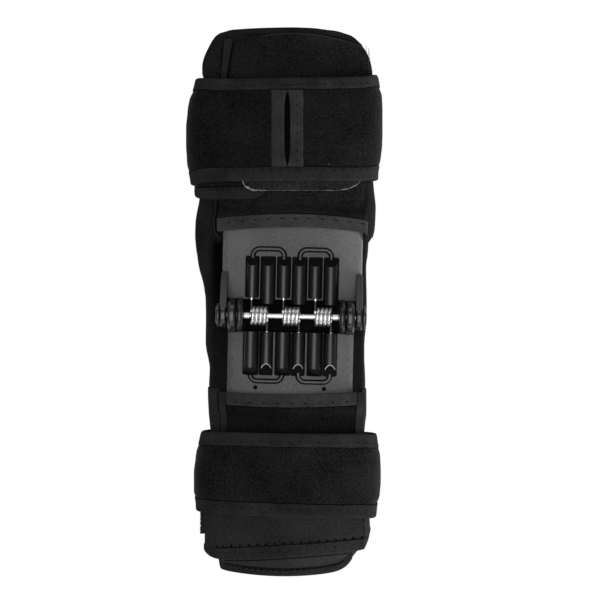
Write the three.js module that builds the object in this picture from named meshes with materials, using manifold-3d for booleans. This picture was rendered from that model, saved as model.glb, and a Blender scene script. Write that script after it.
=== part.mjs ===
// Spring knee brace, lying on its back with both straps fastened.
// A padded liner carries two hinged plastic shells whose ends are tucked into cloth pockets, three torsion springs
// on the hinge rod push the shells straight, and a wide strap closes the brace round the thigh and round the shin.
// Millimetres. +Z points out of the front, +Y towards the thigh, +X to the right as the front is seen.

import * as THREE from 'three';
import { mergeVertices } from 'three/addons/utils/BufferGeometryUtils.js';
import Module from 'manifold-3d';

const wasm = await Module();
wasm.setup();

// Driving sizes

const LENGTH = 400;
const CLOTH_GAP = 0.3;
const TAPE = 1;

// The front of the liner is an arch across the leg, centred on the shells.
const CROWN = 46.8;
const ARCH_RADIUS = 190;
const SHELL_X = 4.8;
const ARCH_HALF = 51.4;
const ARCH_LEAN = Math.asin(ARCH_HALF / ARCH_RADIUS);
const WIDEST_Z = 26;
const BACK_ROUND = 22;

// Layers of cloth, as distances outward from the liner's outer face.
const LINER_THICK = 3;
const COVER = { inside: 0.3, outside: 2.3 };
const POCKET_LIFT = 3.8;
const WING = { inside: 2.6, outside: 4.2 };
const HOOK_TAB = { inside: 4.5, outside: 5.5 };
const STRAP_THICK = 2;
const THIGH_STRAP_RISE = 9.3;
const SHIN_WRAP = { inside: 3.4, outside: 5.4 };
const SHIN_STRAP_RISE = 9.1;
const BINDING_REACH = 9;

// Hinge and springs
const HINGE_Y = -10.4;
const HINGE_Z = 57.45;
const HINGE_TURN = THREE.MathUtils.degToRad(-1.3);
const ROD_RADIUS = 2;
const ROD_CLEARANCE = 0.3;
const SPRING_TURNS = 4;
const SPRING_PITCH = 2.9;
const SPRING_MEAN_RADIUS = 5.85;
const WIRE_RADIUS = 1.3;
const LEG_LENGTH = 27;
const LEG_Z = HINGE_Z - SPRING_MEAN_RADIUS;
const LEG_BORE = WIRE_RADIUS + 0.4;

// Shells
const PLATE = { inside: 0.8, outside: 3.2 };
const HINGE_WINDOW = 11.8;
const HOUSING_PITCH = SPRING_TURNS * SPRING_PITCH;
const HOUSING_COUNT = 6;
const HOUSING_END = 43;
const HOUSING_Z = 49.4;
const HOUSING_RADIUS = { leg: 4.7, upper: 5.2, lower: 5.6 };
const HOUSING_SLOPE = { short: 5.6, long: 8.4 };
const HOUSING_FOOT = PLATE.inside + 1.2;
const BEAD_RADIUS = 1.3;
const BEAD_END = 49.7;
const SCREW_HOLE = { radius: 1.25, x: 25, y: 52 };
const KNUCKLE_RADIUS = 11.3;
const EAR_RADIUS = 9;

// The outline of each loop of cloth: the leftmost and rightmost reach of its outer face and the height of its back.
const LINER_ROWS = [
  { y: 200, left: -57, right: 61, base: 8 },
  { y: 170, left: -59.6, right: 62.4, base: 8 },
  { y: 155, left: -59, right: 61.6, base: 8 },
  { y: 120, left: -59.8, right: 61.6, base: 8 },
  { y: 95, left: -60.2, right: 62.6, base: 8 },
  { y: 77, left: -61.2, right: 64, base: 8 },
  { y: 68, left: -62.8, right: 64, base: 8 },
  { y: 57, left: -64.8, right: 61.6, base: 8 },
  { y: 45, left: -64.4, right: 61, base: 8 },
  { y: 12, left: -59.4, right: 60.4, base: 8 },
  { y: -43, left: -55.4, right: 59.6, base: 8 },
  { y: -76, left: -56, right: 59.4, base: 8 },
  { y: -95, left: -54.4, right: 57.4, base: 8 },
  { y: -158, left: -53.6, right: 58, base: 8 },
  { y: -200, left: -52, right: 58, base: 8 },
];
const WING_ROWS = [
  { y: 150, left: -64.2, right: 65, base: 5.2 },
  { y: 88, left: -63.9, right: 65, base: 5.2 },
  { y: 80, left: -65.6, right: 65, base: 5.2 },
  { y: 74, left: -65.4, right: 65, base: 5.2 },
];
const THIGH_STRAP_ROWS = [
  { y: 164, left: -62.9, right: 66.7, base: 1.6 },
  { y: 152, left: -67.4, right: 70.8, base: 1.6 },
  { y: 138, left: -71.2, right: 72.1, base: 0 },
  { y: 120, left: -72.1, right: 71.6, base: 0 },
  { y: 110, left: -71.6, right: 70.6, base: 0 },
  { y: 98, left: -70.2, right: 69.4, base: 1.6 },
  { y: 87, left: -67.7, right: 67.7, base: 1.6 },
];
const SHIN_WRAP_ROWS = [
  { y: -106, left: -58.6, right: 61.6, base: 5.6 },
  { y: -158, left: -59.4, right: 62, base: 5.6 },
  { y: -176, left: -60, right: 62.6, base: 1.6 },
  { y: -190, left: -59, right: 62, base: 1.6 },
];
const SHIN_STRAP_ROWS = [
  { y: -95, left: -60.2, right: 66, base: 1.6 },
  { y: -106, left: -62.6, right: 68.4, base: 1.6 },
  { y: -117, left: -64.6, right: 70.2, base: 0 },
  { y: -133, left: -66.4, right: 70.4, base: 0 },
  { y: -145, left: -65.8, right: 69, base: 1.6 },
  { y: -156, left: -63.4, right: 66.2, base: 1.6 },
];

// Finishes

function finish(colour, roughness, metalness = 0) {
  return new THREE.MeshStandardMaterial({ color: colour, roughness, metalness });
}

const PILE_CLOTH = finish(0x161616, 0.95);
const LINER_CLOTH = finish(0x1b1b1b, 0.9);
const BINDING_TAPE = finish(0x2a2a2a, 0.85);
const HOOK_TAPE = finish(0x3a3a3a, 0.8);
const SHELL_PLASTIC = finish(0x3a3a3a, 0.55);
const SPRING_STEEL = finish(0xd8d8d8, 0.18, 1);
const ROD_STEEL = finish(0xe0e0e0, 0.12, 1);
const CAP_PLASTIC = finish(0x303030, 0.5);

// Tables and curves

// A column of a row table at y, on a cubic that passes through every row and never overshoots one.
// Rows run from high y to low.
function columnAt(rows, column, y) {
  const last = rows.length - 1;
  const inside = THREE.MathUtils.clamp(y, rows[last].y, rows[0].y);
  const after = rows.findIndex((row) => row.y <= inside);
  const k = THREE.MathUtils.clamp(after - 1, 0, last - 1);
  const steepness = (i) => (rows[i][column] - rows[i + 1][column]) / (rows[i].y - rows[i + 1].y);
  const slope = (i) => {
    const above = steepness(Math.max(i - 1, 0));
    const below = steepness(Math.min(i, last - 1));
    return above * below > 0 ? 2 * above * below / (above + below) : 0;
  };
  const span = rows[k + 1].y - rows[k].y;
  const t = (inside - rows[k].y) / span;
  const near = rows[k][column] + t * span * slope(k);
  const far = rows[k + 1][column] - (1 - t) * span * slope(k + 1);
  const ease = t * t * (3 - 2 * t);
  return near * (1 - ease) + far * ease;
}

function smoothstep(from, to, value) {
  return THREE.MathUtils.smoothstep(value, from, to);
}

// A point of a curve from a to c that leaves towards b and arrives from b.
function bend(a, b, c, t) {
  const at = (k) => (1 - t) ** 2 * a[k] + 2 * t * (1 - t) * b[k] + t * t * c[k];
  return [at(0), at(1)];
}

// A point on a loop round the leg. turn is 0 on the front's middle line, 1 and -1 at the shoulders of the arch,
// 2 and -2 at the widest points, 3 and -3 where the flat back starts, and 4 or -4 at the back's middle.
// out is the distance outward from the loop's outer face.
function loopPoint(loop, turn, y, out) {
  const side = turn < 0 ? -1 : 1;
  const way = Math.abs(turn);
  const radius = ARCH_RADIUS + loop.rise + out;
  const arch = (angle) => [
    SHELL_X + radius * Math.sin(angle),
    CROWN - ARCH_RADIUS + radius * Math.cos(angle),
  ];
  const reach = columnAt(loop.rows, side < 0 ? 'left' : 'right', y) + side * out;
  const base = columnAt(loop.rows, 'base', y) - out;
  const shoulder = arch(side * ARCH_LEAN);
  const brow = [reach, shoulder[1] - Math.abs(reach - shoulder[0]) * Math.tan(ARCH_LEAN)];
  const widest = [reach, WIDEST_Z];
  const heel = [reach - side * BACK_ROUND, base];
  let point;
  if (way <= 1) point = arch(turn * ARCH_LEAN);
  else if (way <= 2) point = bend(shoulder, brow, widest, way - 1);
  else if (way <= 3) point = bend(widest, [reach, base], heel, way - 2);
  else point = [heel[0] * (4 - way), base];
  return new THREE.Vector3(point[0], y, point[1]);
}

// A table row for a loop that lies the given distance inside the one that is listed.
function insideLoop(row, distance) {
  const { y, left, right, base } = row;
  return { y, left: left + distance, right: right - distance, base: base + distance };
}

// The turn at which the front arch reaches x.
function turnAt(x, rise = 0) {
  return Math.asin((x - SHELL_X) / (ARCH_RADIUS + rise)) / ARCH_LEAN;
}

// The turns at which every loop has its corners, so that the layers lie parallel. They are wider apart behind.
const TURN_STEP = 0.25;
const BACK_TURNS = [2.5, 3];

function turnsBetween(from, to) {
  const front = Array.from({ length: 4 / TURN_STEP + 1 }, (_, k) => k * TURN_STEP - 2);
  const shared = [...BACK_TURNS.map((turn) => -turn).reverse(), ...front, ...BACK_TURNS];
  return [from, ...shared.filter((turn) => turn > from && turn < to), to];
}

const WHOLE_LOOP = [-4, ...turnsBetween(-3, 3)];

// How far an edge is set back near its two ends, so that its corners are round.
function roundedCorner(x, from, to, radius) {
  const inset = radius - Math.min(x - from, to - x, radius);
  return radius - Math.sqrt(Math.max(radius ** 2 - inset ** 2, 0));
}

// Solids

function facingOut(vertices, faces) {
  const volume = faces.reduce((sum, [a, b, c]) => {
    return sum + vertices[a].dot(new THREE.Vector3().crossVectors(vertices[b], vertices[c]));
  }, 0);
  const turned = volume < 0 ? faces.map(([a, b, c]) => [a, c, b]) : faces;
  const geometry = new THREE.BufferGeometry();
  geometry.setAttribute('position', new THREE.Float32BufferAttribute(vertices.flatMap((v) => v.toArray()), 3));
  geometry.setIndex(turned.flat());
  return geometry;
}

// A wall with an inner and an outer face. place(column, row, face) gives its points, with face 0 inside and 1 outside.
// A closed wall runs round from its last column to its first.
function wall(columns, rows, place, closed = false) {
  const vertices = [];
  const faces = [];
  const index = (i, j, face) => ((i % columns) * rows + j) * 2 + face;
  const quad = (a, b, c, d) => faces.push([a, b, c], [a, c, d]);
  for (let i = 0; i < columns; i += 1) {
    for (let j = 0; j < rows; j += 1) vertices.push(place(i, j, 0), place(i, j, 1));
  }
  const spans = closed ? columns : columns - 1;
  for (let i = 0; i < spans; i += 1) {
    for (let j = 0; j < rows - 1; j += 1) {
      quad(index(i, j, 1), index(i + 1, j, 1), index(i + 1, j + 1, 1), index(i, j + 1, 1));
      quad(index(i, j, 0), index(i, j + 1, 0), index(i + 1, j + 1, 0), index(i + 1, j, 0));
    }
    quad(index(i, 0, 0), index(i + 1, 0, 0), index(i + 1, 0, 1), index(i, 0, 1));
    quad(index(i, rows - 1, 0), index(i, rows - 1, 1), index(i + 1, rows - 1, 1), index(i + 1, rows - 1, 0));
  }
  if (!closed) {
    for (let j = 0; j < rows - 1; j += 1) {
      const end = columns - 1;
      quad(index(0, j, 0), index(0, j, 1), index(0, j + 1, 1), index(0, j + 1, 0));
      quad(index(end, j, 0), index(end, j + 1, 0), index(end, j + 1, 1), index(end, j, 1));
    }
  }
  return facingOut(vertices, faces);
}

// Heights of a panel's rows at a turn: even between its low and high edges, after any fixed distances from each.
function rowHeights({ low, high, rows, fromLow = [0], fromHigh = [0] }) {
  return (turn) => {
    const lower = fromLow.map((distance) => low(turn) + distance);
    const upper = fromHigh.map((distance) => high(turn) - distance).reverse();
    const start = lower.at(-1);
    const between = Array.from({ length: rows - 1 }, (_, k) => start + (upper[0] - start) * (k + 1) / rows);
    return [...lower, ...between, ...upper];
  };
}

// A panel of cloth on a loop, between edges whose Y depends on the turn. lift raises it away from the loop, and lean
// moves it round the loop.
function panel({ loop, turns, layer, lift = () => 0, lean = () => 0, closed = false, ...edges }) {
  const heights = rowHeights(edges);
  return wall(turns.length, heights(0).length, (i, j, face) => {
    const turn = turns[i];
    const y = heights(turn)[j];
    const out = (face ? layer.outside : layer.inside) + lift(y, turn);
    return loopPoint(loop, turn + lean(y, turn), y, out);
  }, closed);
}

// A tape folded over one edge of a panel. up is 1 over a high edge and -1 under a low one.
function foldedTape({ loop, turns, edge, up, reach, layer, gap = CLOTH_GAP, closed = false }) {
  const near = gap;
  const far = gap + TAPE;
  return wall(turns.length, 4, (i, j, face) => {
    const turn = turns[i];
    const grow = face ? far : near;
    const overEdge = j === 1 || j === 2;
    const y = edge(turn) + up * (overEdge ? grow : -reach);
    return loopPoint(loop, turn, y, j < 2 ? layer.inside - grow : layer.outside + grow);
  }, closed);
}

function solid(geometry) {
  const bare = geometry.clone();
  bare.deleteAttribute('normal');
  bare.deleteAttribute('uv');
  const merged = mergeVertices(bare, 1e-4);
  return new wasm.Manifold(new wasm.Mesh({
    numProp: 3,
    vertProperties: merged.attributes.position.array,
    triVerts: new Uint32Array(merged.index.array),
  }));
}

function geometryOf(made) {
  const mesh = made.getMesh();
  const geometry = new THREE.BufferGeometry();
  geometry.setAttribute('position', new THREE.BufferAttribute(new Float32Array(mesh.vertProperties), 3));
  geometry.setIndex(new THREE.BufferAttribute(new Uint32Array(mesh.triVerts), 1));
  return geometry;
}

// Extrusions along X of a shape drawn in Y and Z, and along Y of a shape drawn in X and Z.
function extrudeAlongX(shape, from, to, curveSegments) {
  const geometry = new THREE.ExtrudeGeometry(shape, { depth: to - from, bevelEnabled: false, curveSegments });
  const axes = [new THREE.Vector3(0, 1, 0), new THREE.Vector3(0, 0, 1), new THREE.Vector3(1, 0, 0)];
  return geometry.applyMatrix4(new THREE.Matrix4().makeBasis(...axes)).translate(from, 0, 0);
}

function extrudeAlongY(shape, from, to, curveSegments) {
  const geometry = new THREE.ExtrudeGeometry(shape, { depth: to - from, bevelEnabled: false, curveSegments });
  const axes = [new THREE.Vector3(1, 0, 0), new THREE.Vector3(0, 0, 1), new THREE.Vector3(0, -1, 0)];
  return geometry.applyMatrix4(new THREE.Matrix4().makeBasis(...axes)).translate(0, to, 0);
}

// The assembly

const brace = new THREE.Group();
const hinge = new THREE.Group();
hinge.position.set(SHELL_X, HINGE_Y, 0);
hinge.rotation.z = HINGE_TURN;
brace.add(hinge);

function piece(parent, name, geometry, material) {
  const mesh = new THREE.Mesh(geometry, material);
  mesh.name = name;
  parent.add(mesh);
}

// Liner: a trough from end to end, narrower where its lower end hangs out of the shin wrap as a round tongue

const LINER_LOOP = { rise: 0, rows: LINER_ROWS };
const LINER_LAYER = { inside: -LINER_THICK, outside: 0 };
const LINER_SIDE = 2.5;
const LINER_TAPE_GAP = 0.6;
const LINER_TIP = LENGTH / 2 - LINER_TAPE_GAP - TAPE;
const TOP_TAPE = 2.6;
const TOP_TAPE_SIDE = 1.75;
const TONGUE_TAPE = 4;
const TONGUE = { middle: -0.09, half: 0.93, rise: 11, power: 5 };
const SIDE_RISE = 58;
const TOP_CORNER = { left: { drop: 2.8, power: 3 }, right: { drop: 9, power: 2 } };

function linerTop(turn) {
  const corner = turn < 0 ? TOP_CORNER.left : TOP_CORNER.right;
  return LINER_TIP - corner.drop * Math.abs(turn) ** corner.power;
}

function linerLow(turn) {
  const way = Math.abs(turn - TONGUE.middle) / TONGUE.half;
  return -LINER_TIP + TONGUE.rise * Math.min(way, 1) ** TONGUE.power + SIDE_RISE * Math.max(way - 1, 0);
}

function addLiner() {
  const liner = { loop: LINER_LOOP, layer: LINER_LAYER };
  const turns = turnsBetween(-LINER_SIDE, LINER_SIDE);
  const ends = { low: linerLow, high: linerTop, fromLow: [0, TONGUE_TAPE], fromHigh: [0, TOP_TAPE] };
  piece(brace, 'liner', panel({ ...liner, ...ends, turns, rows: 10 }), LINER_CLOTH);
  const tape = { ...liner, gap: LINER_TAPE_GAP };
  const topTurns = turnsBetween(-TOP_TAPE_SIDE, TOP_TAPE_SIDE);
  const top = foldedTape({ ...tape, turns: topTurns, edge: linerTop, up: 1, reach: TOP_TAPE });
  piece(brace, 'liner_binding_top', top, BINDING_TAPE);
  const tongueTurns = turnsBetween(TONGUE.middle - TONGUE.half, TONGUE.middle + TONGUE.half);
  const bottom = foldedTape({ ...tape, turns: tongueTurns, edge: linerLow, up: -1, reach: TONGUE_TAPE });
  piece(brace, 'liner_binding_bottom', bottom, BINDING_TAPE);
}

// Covers: pile cloth panels that rise over the tucked-in end of each shell, with a curved tape on each pocket mouth

const THIGH_MOUTH = { y: 54.4, curve: -4, tape: 9.4 };
const SHIN_MOUTH = { y: -67.2, curve: 1.8, tape: 9.2 };
const POCKET = { depth: 11, slope: 7 };
const THIGH_COVER_TOP = { y: 195.4, drop: 9 };
const THIGH_COVER_SIDE = { left: -1, right: 1.5 };
const THIGH_COVER_LEAN = { y: 117, slope: 0.0016 };
const SHIN_COVER_LOW = -145;
const EDGE_TAPE_WIDTH = 5;
const EDGE_GAP = 0.6;

const mouth = (pocket) => (turn) => pocket.y + pocket.curve * turn ** 2;
const pastTape = (pocket, way) => (turn) => mouth(pocket)(turn) + way * pocket.tape;

function pocketLift(pocket, way) {
  return (y, turn) => {
    const depth = way * (y - mouth(pocket)(turn));
    return POCKET_LIFT * (1 - smoothstep(POCKET.depth, POCKET.depth + POCKET.slope, depth));
  };
}

// The rows of a cover near its mouth: flat over the shell's end, then sloping back to the liner.
const POCKET_ROWS = [0, POCKET.depth, POCKET.depth + POCKET.slope / 2, POCKET.depth + POCKET.slope];

function pocketTape(pocket, way, turns) {
  const low = way > 0 ? mouth(pocket) : pastTape(pocket, way);
  const high = way > 0 ? pastTape(pocket, way) : mouth(pocket);
  const layer = { inside: COVER.outside + CLOTH_GAP, outside: COVER.outside + CLOTH_GAP + TAPE };
  return panel({ loop: LINER_LOOP, turns, rows: 1, low, high, layer, lift: () => POCKET_LIFT });
}

// An upright strip of tape beside a cover, level with it.
function edgeTape(from, to, edges) {
  return panel({ loop: LINER_LOOP, turns: [from, to], layer: COVER, ...edges });
}

function addCovers() {
  const { left, right } = THIGH_COVER_SIDE;
  const tapeTurn = EDGE_TAPE_WIDTH / ARCH_HALF;
  const gapTurn = EDGE_GAP / ARCH_HALF;
  const thighTop = (turn) => THIGH_COVER_TOP.y - THIGH_COVER_TOP.drop * turn ** 2;
  const thighTurns = turnsBetween(left + tapeTurn + gapTurn, right);
  const thighEdges = {
    low: mouth(THIGH_MOUTH),
    high: thighTop,
    rows: 7,
    fromLow: POCKET_ROWS,
    lift: pocketLift(THIGH_MOUTH, 1),
    lean: (y, turn) => Math.max(-turn, 0) * THIGH_COVER_LEAN.slope * (y - THIGH_COVER_LEAN.y),
  };
  const thigh = panel({ loop: LINER_LOOP, turns: thighTurns, layer: COVER, ...thighEdges });
  piece(brace, 'thigh_cover', thigh, PILE_CLOTH);
  piece(brace, 'thigh_pocket_tape', pocketTape(THIGH_MOUTH, 1, thighTurns), BINDING_TAPE);
  const strip = edgeTape(left, left + tapeTurn, thighEdges);
  piece(brace, 'thigh_edge_tape', strip, BINDING_TAPE);

  const shinEdges = {
    low: () => SHIN_COVER_LOW,
    high: mouth(SHIN_MOUTH),
    rows: 3,
    fromHigh: POCKET_ROWS,
    lift: pocketLift(SHIN_MOUTH, -1),
  };
  const inset = tapeTurn + gapTurn;
  const shinTurns = turnsBetween(-1 + inset, 1 - inset);
  const shin = panel({ loop: LINER_LOOP, turns: shinTurns, layer: COVER, ...shinEdges });
  piece(brace, 'shin_cover', shin, PILE_CLOTH);
  piece(brace, 'shin_pocket_tape', pocketTape(SHIN_MOUTH, -1, shinTurns), BINDING_TAPE);
  for (const [name, from] of [['shin_edge_tape_left', -1], ['shin_edge_tape_right', 1 - tapeTurn]]) {
    piece(brace, name, edgeTape(from, from + tapeTurn, shinEdges), BINDING_TAPE);
  }
}

// Straps: closed loops of pile cloth, fuller in the middle than at their taped edges

// How far to the right a turn lies, from -1 at the left side to 1 at the right.
const across = (turn) => Math.sin(THREE.MathUtils.clamp(turn, -2, 2) * Math.PI / 4);

function addStrap(name, loop, turns, low, high, rows, cut) {
  const layer = { inside: -STRAP_THICK, outside: 0 };
  const strap = { loop, turns, layer, closed: true };
  const edge = { low: (turn) => low(turn) + TAPE + CLOTH_GAP, high: (turn) => high(turn) - TAPE - CLOTH_GAP };
  const taped = { fromLow: [0, BINDING_REACH], fromHigh: [0, BINDING_REACH] };
  const band = panel({ ...strap, ...edge, ...taped, rows });
  piece(brace, name, cut ? geometryOf(solid(band).subtract(solid(cut))) : band, PILE_CLOTH);
  const upper = foldedTape({ ...strap, edge: edge.high, up: 1, reach: BINDING_REACH });
  piece(brace, `${name}_binding_upper`, upper, BINDING_TAPE);
  const lower = foldedTape({ ...strap, edge: edge.low, up: -1, reach: BINDING_REACH });
  piece(brace, `${name}_binding_lower`, lower, BINDING_TAPE);
}

const THIGH_STRAP_LOOP = { rise: THIGH_STRAP_RISE, rows: THIGH_STRAP_ROWS };
const THIGH_STRAP = { low: 87.4, high: 163, slope: 1.2 };
const SLIT = { x: 2, half: 1.7, low: 98.5, high: 151.5, tape: 10, tapeOver: 0.4 };

// The slit that the other strap end can pass through: pointed at both ends.
function slitCutter() {
  const middle = (SLIT.low + SLIT.high) / 2;
  const shape = new THREE.Shape();
  shape.moveTo(SLIT.x, SLIT.low);
  shape.quadraticCurveTo(SLIT.x + 2 * SLIT.half, middle, SLIT.x, SLIT.high);
  shape.quadraticCurveTo(SLIT.x - 2 * SLIT.half, middle, SLIT.x, SLIT.low);
  const depth = 20;
  const settings = { depth, bevelEnabled: false, curveSegments: 6 };
  return new THREE.ExtrudeGeometry(shape, settings).translate(0, 0, CROWN + THIGH_STRAP_RISE - depth / 2);
}

function addThighStrap() {
  const low = () => THIGH_STRAP.low;
  const high = (turn) => THIGH_STRAP.high + THIGH_STRAP.slope * across(turn);
  addStrap('thigh_strap', THIGH_STRAP_LOOP, WHOLE_LOOP, low, high, 4, slitCutter());
  const layer = { inside: CLOTH_GAP, outside: CLOTH_GAP + TAPE };
  const gap = SLIT.half + CLOTH_GAP;
  const sides = [['slit_tape_left', -gap - SLIT.tape, -gap], ['slit_tape_right', gap, gap + SLIT.tape]];
  for (const [name, from, to] of sides) {
    const turns = [turnAt(SLIT.x + from, THIGH_STRAP_RISE), turnAt(SLIT.x + to, THIGH_STRAP_RISE)];
    const strip = panel({
      loop: THIGH_STRAP_LOOP,
      turns,
      rows: 4,
      low: () => SLIT.low - SLIT.tapeOver,
      high: () => SLIT.high + SLIT.tapeOver,
      layer,
    });
    piece(brace, name, strip, BINDING_TAPE);
  }
}

const SHIN_STRAP_LOOP = { rise: SHIN_STRAP_RISE, rows: SHIN_STRAP_ROWS };
const SHIN_STRAP = { low: -155.6, high: -94.6, slope: -1, corner: { from: 0.8, to: 2, drop: 3 } };

function addShinStrap() {
  const low = (turn) => SHIN_STRAP.low + SHIN_STRAP.slope * across(turn);
  const high = (turn) => {
    const { from, to, drop } = SHIN_STRAP.corner;
    return SHIN_STRAP.high + SHIN_STRAP.slope * across(turn) - drop * smoothstep(from, to, Math.abs(turn));
  };
  addStrap('shin_strap', SHIN_STRAP_LOOP, WHOLE_LOOP, low, high, 3);
}

// Under the thigh strap: the wrap's round-cornered end and a hook patch

const WING_FRONT_X = -10.6;
const WING_BACK_TURN = -3.6;
const WING_EDGE = { low: 74.5, high: 148, corner: 14 };
const HOOK_PATCH = { left: -30, right: 51, low: 80.9, high: 118, corner: 9 };

function addThighWrap() {
  const wingTurns = turnsBetween(WING_BACK_TURN, turnAt(WING_FRONT_X));
  const wingLow = (turn) => {
    const x = SHELL_X + ARCH_RADIUS * Math.sin(turn * ARCH_LEAN);
    const corner = turn < -1 ? 0 : roundedCorner(x, -1e3, WING_FRONT_X, WING_EDGE.corner);
    return WING_EDGE.low + corner;
  };
  const wing = panel({
    loop: { rise: 0, rows: WING_ROWS.map((row) => insideLoop(row, WING.outside)) },
    turns: wingTurns,
    rows: 4,
    low: wingLow,
    high: () => WING_EDGE.high,
    layer: WING,
  });
  piece(brace, 'thigh_wing', wing, PILE_CLOTH);

  const patchTurns = turnsBetween(turnAt(HOOK_PATCH.left), turnAt(HOOK_PATCH.right));
  const patchLow = (turn) => {
    const x = SHELL_X + ARCH_RADIUS * Math.sin(turn * ARCH_LEAN);
    return HOOK_PATCH.low + roundedCorner(x, HOOK_PATCH.left, HOOK_PATCH.right, HOOK_PATCH.corner);
  };
  const patch = panel({
    loop: LINER_LOOP,
    turns: patchTurns,
    rows: 2,
    low: patchLow,
    high: () => HOOK_PATCH.high,
    layer: HOOK_TAB,
  });
  piece(brace, 'thigh_hook_tab', patch, HOOK_TAPE);
}

// Shin wrap: a second loop under the shin strap, with a slanting taped lower edge

const SHIN_WRAP_EDGE = { high: -109, low: -184.8, slope: 4.8, side: { from: 0.6, to: 2.6, rise: 13 }, tapeGap: 0.4 };

function addShinWrap() {
  const loop = { rise: 0, rows: SHIN_WRAP_ROWS.map((row) => insideLoop(row, SHIN_WRAP.outside)) };
  const low = (turn) => {
    const { from, to, rise } = SHIN_WRAP_EDGE.side;
    return SHIN_WRAP_EDGE.low + SHIN_WRAP_EDGE.slope * across(turn) + rise * smoothstep(from, to, Math.abs(turn));
  };
  const wrap = { loop, turns: WHOLE_LOOP, layer: SHIN_WRAP, closed: true };
  const edges = { low, high: () => SHIN_WRAP_EDGE.high, fromLow: [0, BINDING_REACH] };
  const band = panel({ ...wrap, ...edges, rows: 4 });
  piece(brace, 'shin_wrap', band, PILE_CLOTH);
  const binding = foldedTape({ ...wrap, edge: low, up: -1, reach: BINDING_REACH, gap: SHIN_WRAP_EDGE.tapeGap });
  piece(brace, 'shin_wrap_binding', binding, BINDING_TAPE);
}

// Hinge: shells, rod, pivot caps and springs, in a group of their own whose origin is the middle of the hinge line

const archTop = (x, out) => CROWN - ARCH_RADIUS + Math.sqrt((ARCH_RADIUS + out) ** 2 - x ** 2);
const housingX = (k) => (k - (HOUSING_COUNT - 1) / 2) * HOUSING_PITCH;

// A moulded plate with an outline drawn in X and Y, bent to the arch.
function bentPlate(outline, half, from, to) {
  const lean = Math.asin(half / ARCH_RADIUS);
  const middle = Math.PI / 2;
  const section = new THREE.Shape();
  section.absarc(0, CROWN - ARCH_RADIUS, ARCH_RADIUS + PLATE.outside, middle - lean, middle + lean, false);
  section.absarc(0, CROWN - ARCH_RADIUS, ARCH_RADIUS + PLATE.inside, middle + lean, middle - lean, true);
  const arch = extrudeAlongY(section, from, to, 8);
  const depth = 40;
  const block = new THREE.ExtrudeGeometry(outline, { depth, bevelEnabled: false, curveSegments: 5 });
  return solid(arch).intersect(solid(block.translate(0, 0, CROWN - depth / 2)));
}

// A half-round housing along Y with upright sides that reach into the plate. Its far end slopes from the crest down.
function housing(x, radius, from, to, slope) {
  const foot = archTop(Math.abs(x) + radius, HOUSING_FOOT);
  const section = new THREE.Shape();
  section.moveTo(x + radius, foot);
  section.lineTo(x + radius, HOUSING_Z);
  section.absarc(x, HOUSING_Z, radius, 0, Math.PI, false);
  section.lineTo(x - radius, foot);
  const body = extrudeAlongY(section, Math.min(from, to), Math.max(from, to), 5);
  const position = body.getAttribute('position');
  for (let i = 0; i < position.count; i += 1) {
    const atFarEnd = Math.abs(position.getY(i) - to) < 1e-6;
    const height = Math.max(position.getZ(i) - HOUSING_Z, 0) / radius;
    if (atFarEnd) position.setY(i, to - Math.sign(to) * slope * height);
  }
  return solid(body);
}

// A raised bead that joins the far ends of two housings like a hose. way is 1 towards the thigh.
function hoseBead(fromX, toX, way) {
  const corner = 4.5;
  const turnIn = Math.sign(toX - fromX);
  const at = (x, y) => new THREE.Vector3(x, way * y, archTop(x, PLATE.outside));
  const path = new THREE.CatmullRomCurve3([
    at(fromX, HOUSING_END - 2),
    at(fromX, BEAD_END - corner),
    at(fromX + turnIn * corner * 0.3, BEAD_END - corner * 0.3),
    at(fromX + turnIn * corner, BEAD_END),
    at(toX - turnIn * corner, BEAD_END),
    at(toX - turnIn * corner * 0.3, BEAD_END - corner * 0.3),
    at(toX, BEAD_END - corner),
    at(toX, HOUSING_END - 2),
  ]);
  const ring = new THREE.Shape().absarc(0, 0, BEAD_RADIUS, 0, 2 * Math.PI, false);
  const settings = { steps: 12, extrudePath: path, curveSegments: 3, bevelEnabled: false };
  return solid(new THREE.ExtrudeGeometry(ring, settings));
}

// A hinge lug across X: a round knuckle on the hinge line with a web to its plate, drawn in Y and Z from that line.
function lug(from, to, radius, web) {
  const shape = new THREE.Shape();
  shape.absarc(0, HINGE_Z, radius, 0, 2 * Math.PI, false);
  const knuckle = solid(extrudeAlongX(shape, from, to, 8));
  const foot = new THREE.Shape(web.map(([y, z]) => new THREE.Vector2(y, HINGE_Z + z)));
  return knuckle.add(solid(extrudeAlongX(foot, from, to, 1)));
}

function bothSides(from, to, make) {
  return make(from, to).add(make(-to, -from));
}

function cylinderAlongX(radius, from, to, sides) {
  const rod = new THREE.CylinderGeometry(radius, radius, to - from, sides);
  return rod.rotateZ(Math.PI / 2).translate((from + to) / 2, 0, 0);
}

function rodBore() {
  const end = EAR.to + 1;
  const bore = cylinderAlongX(ROD_RADIUS + ROD_CLEARANCE, -end, end, 16);
  return solid(bore.translate(0, 0, HINGE_Z));
}

// The bore in a housing that takes a spring leg, a little deeper than the leg is long. way is 1 towards the thigh.
function legBore(k, way) {
  const length = LEG_LENGTH + 2;
  const bore = new THREE.CylinderGeometry(LEG_BORE, LEG_BORE, length, 10);
  return solid(bore.translate(housingX(k), way * length / 2, LEG_Z));
}

// The reach of the lugs along the rod on either side, and the outlines of their webs.
const EAR = { from: 46.4, to: 51 };
const LOWER_LUG = { from: 39.7, to: 45.8 };
const INNER_LUG = { from: 34.8, to: 39.2 };
const EAR_WEB = [[-2, -8.6], [13, -15.4], [31.5, -15.4], [31.5, -12.6], [23, -4.5], [7, 5.6]];
const LUG_WEB = [[2, -11], [11.9, -13.2], [17, -13.2], [17, -11.4], [10.6, -3.6]];

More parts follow.
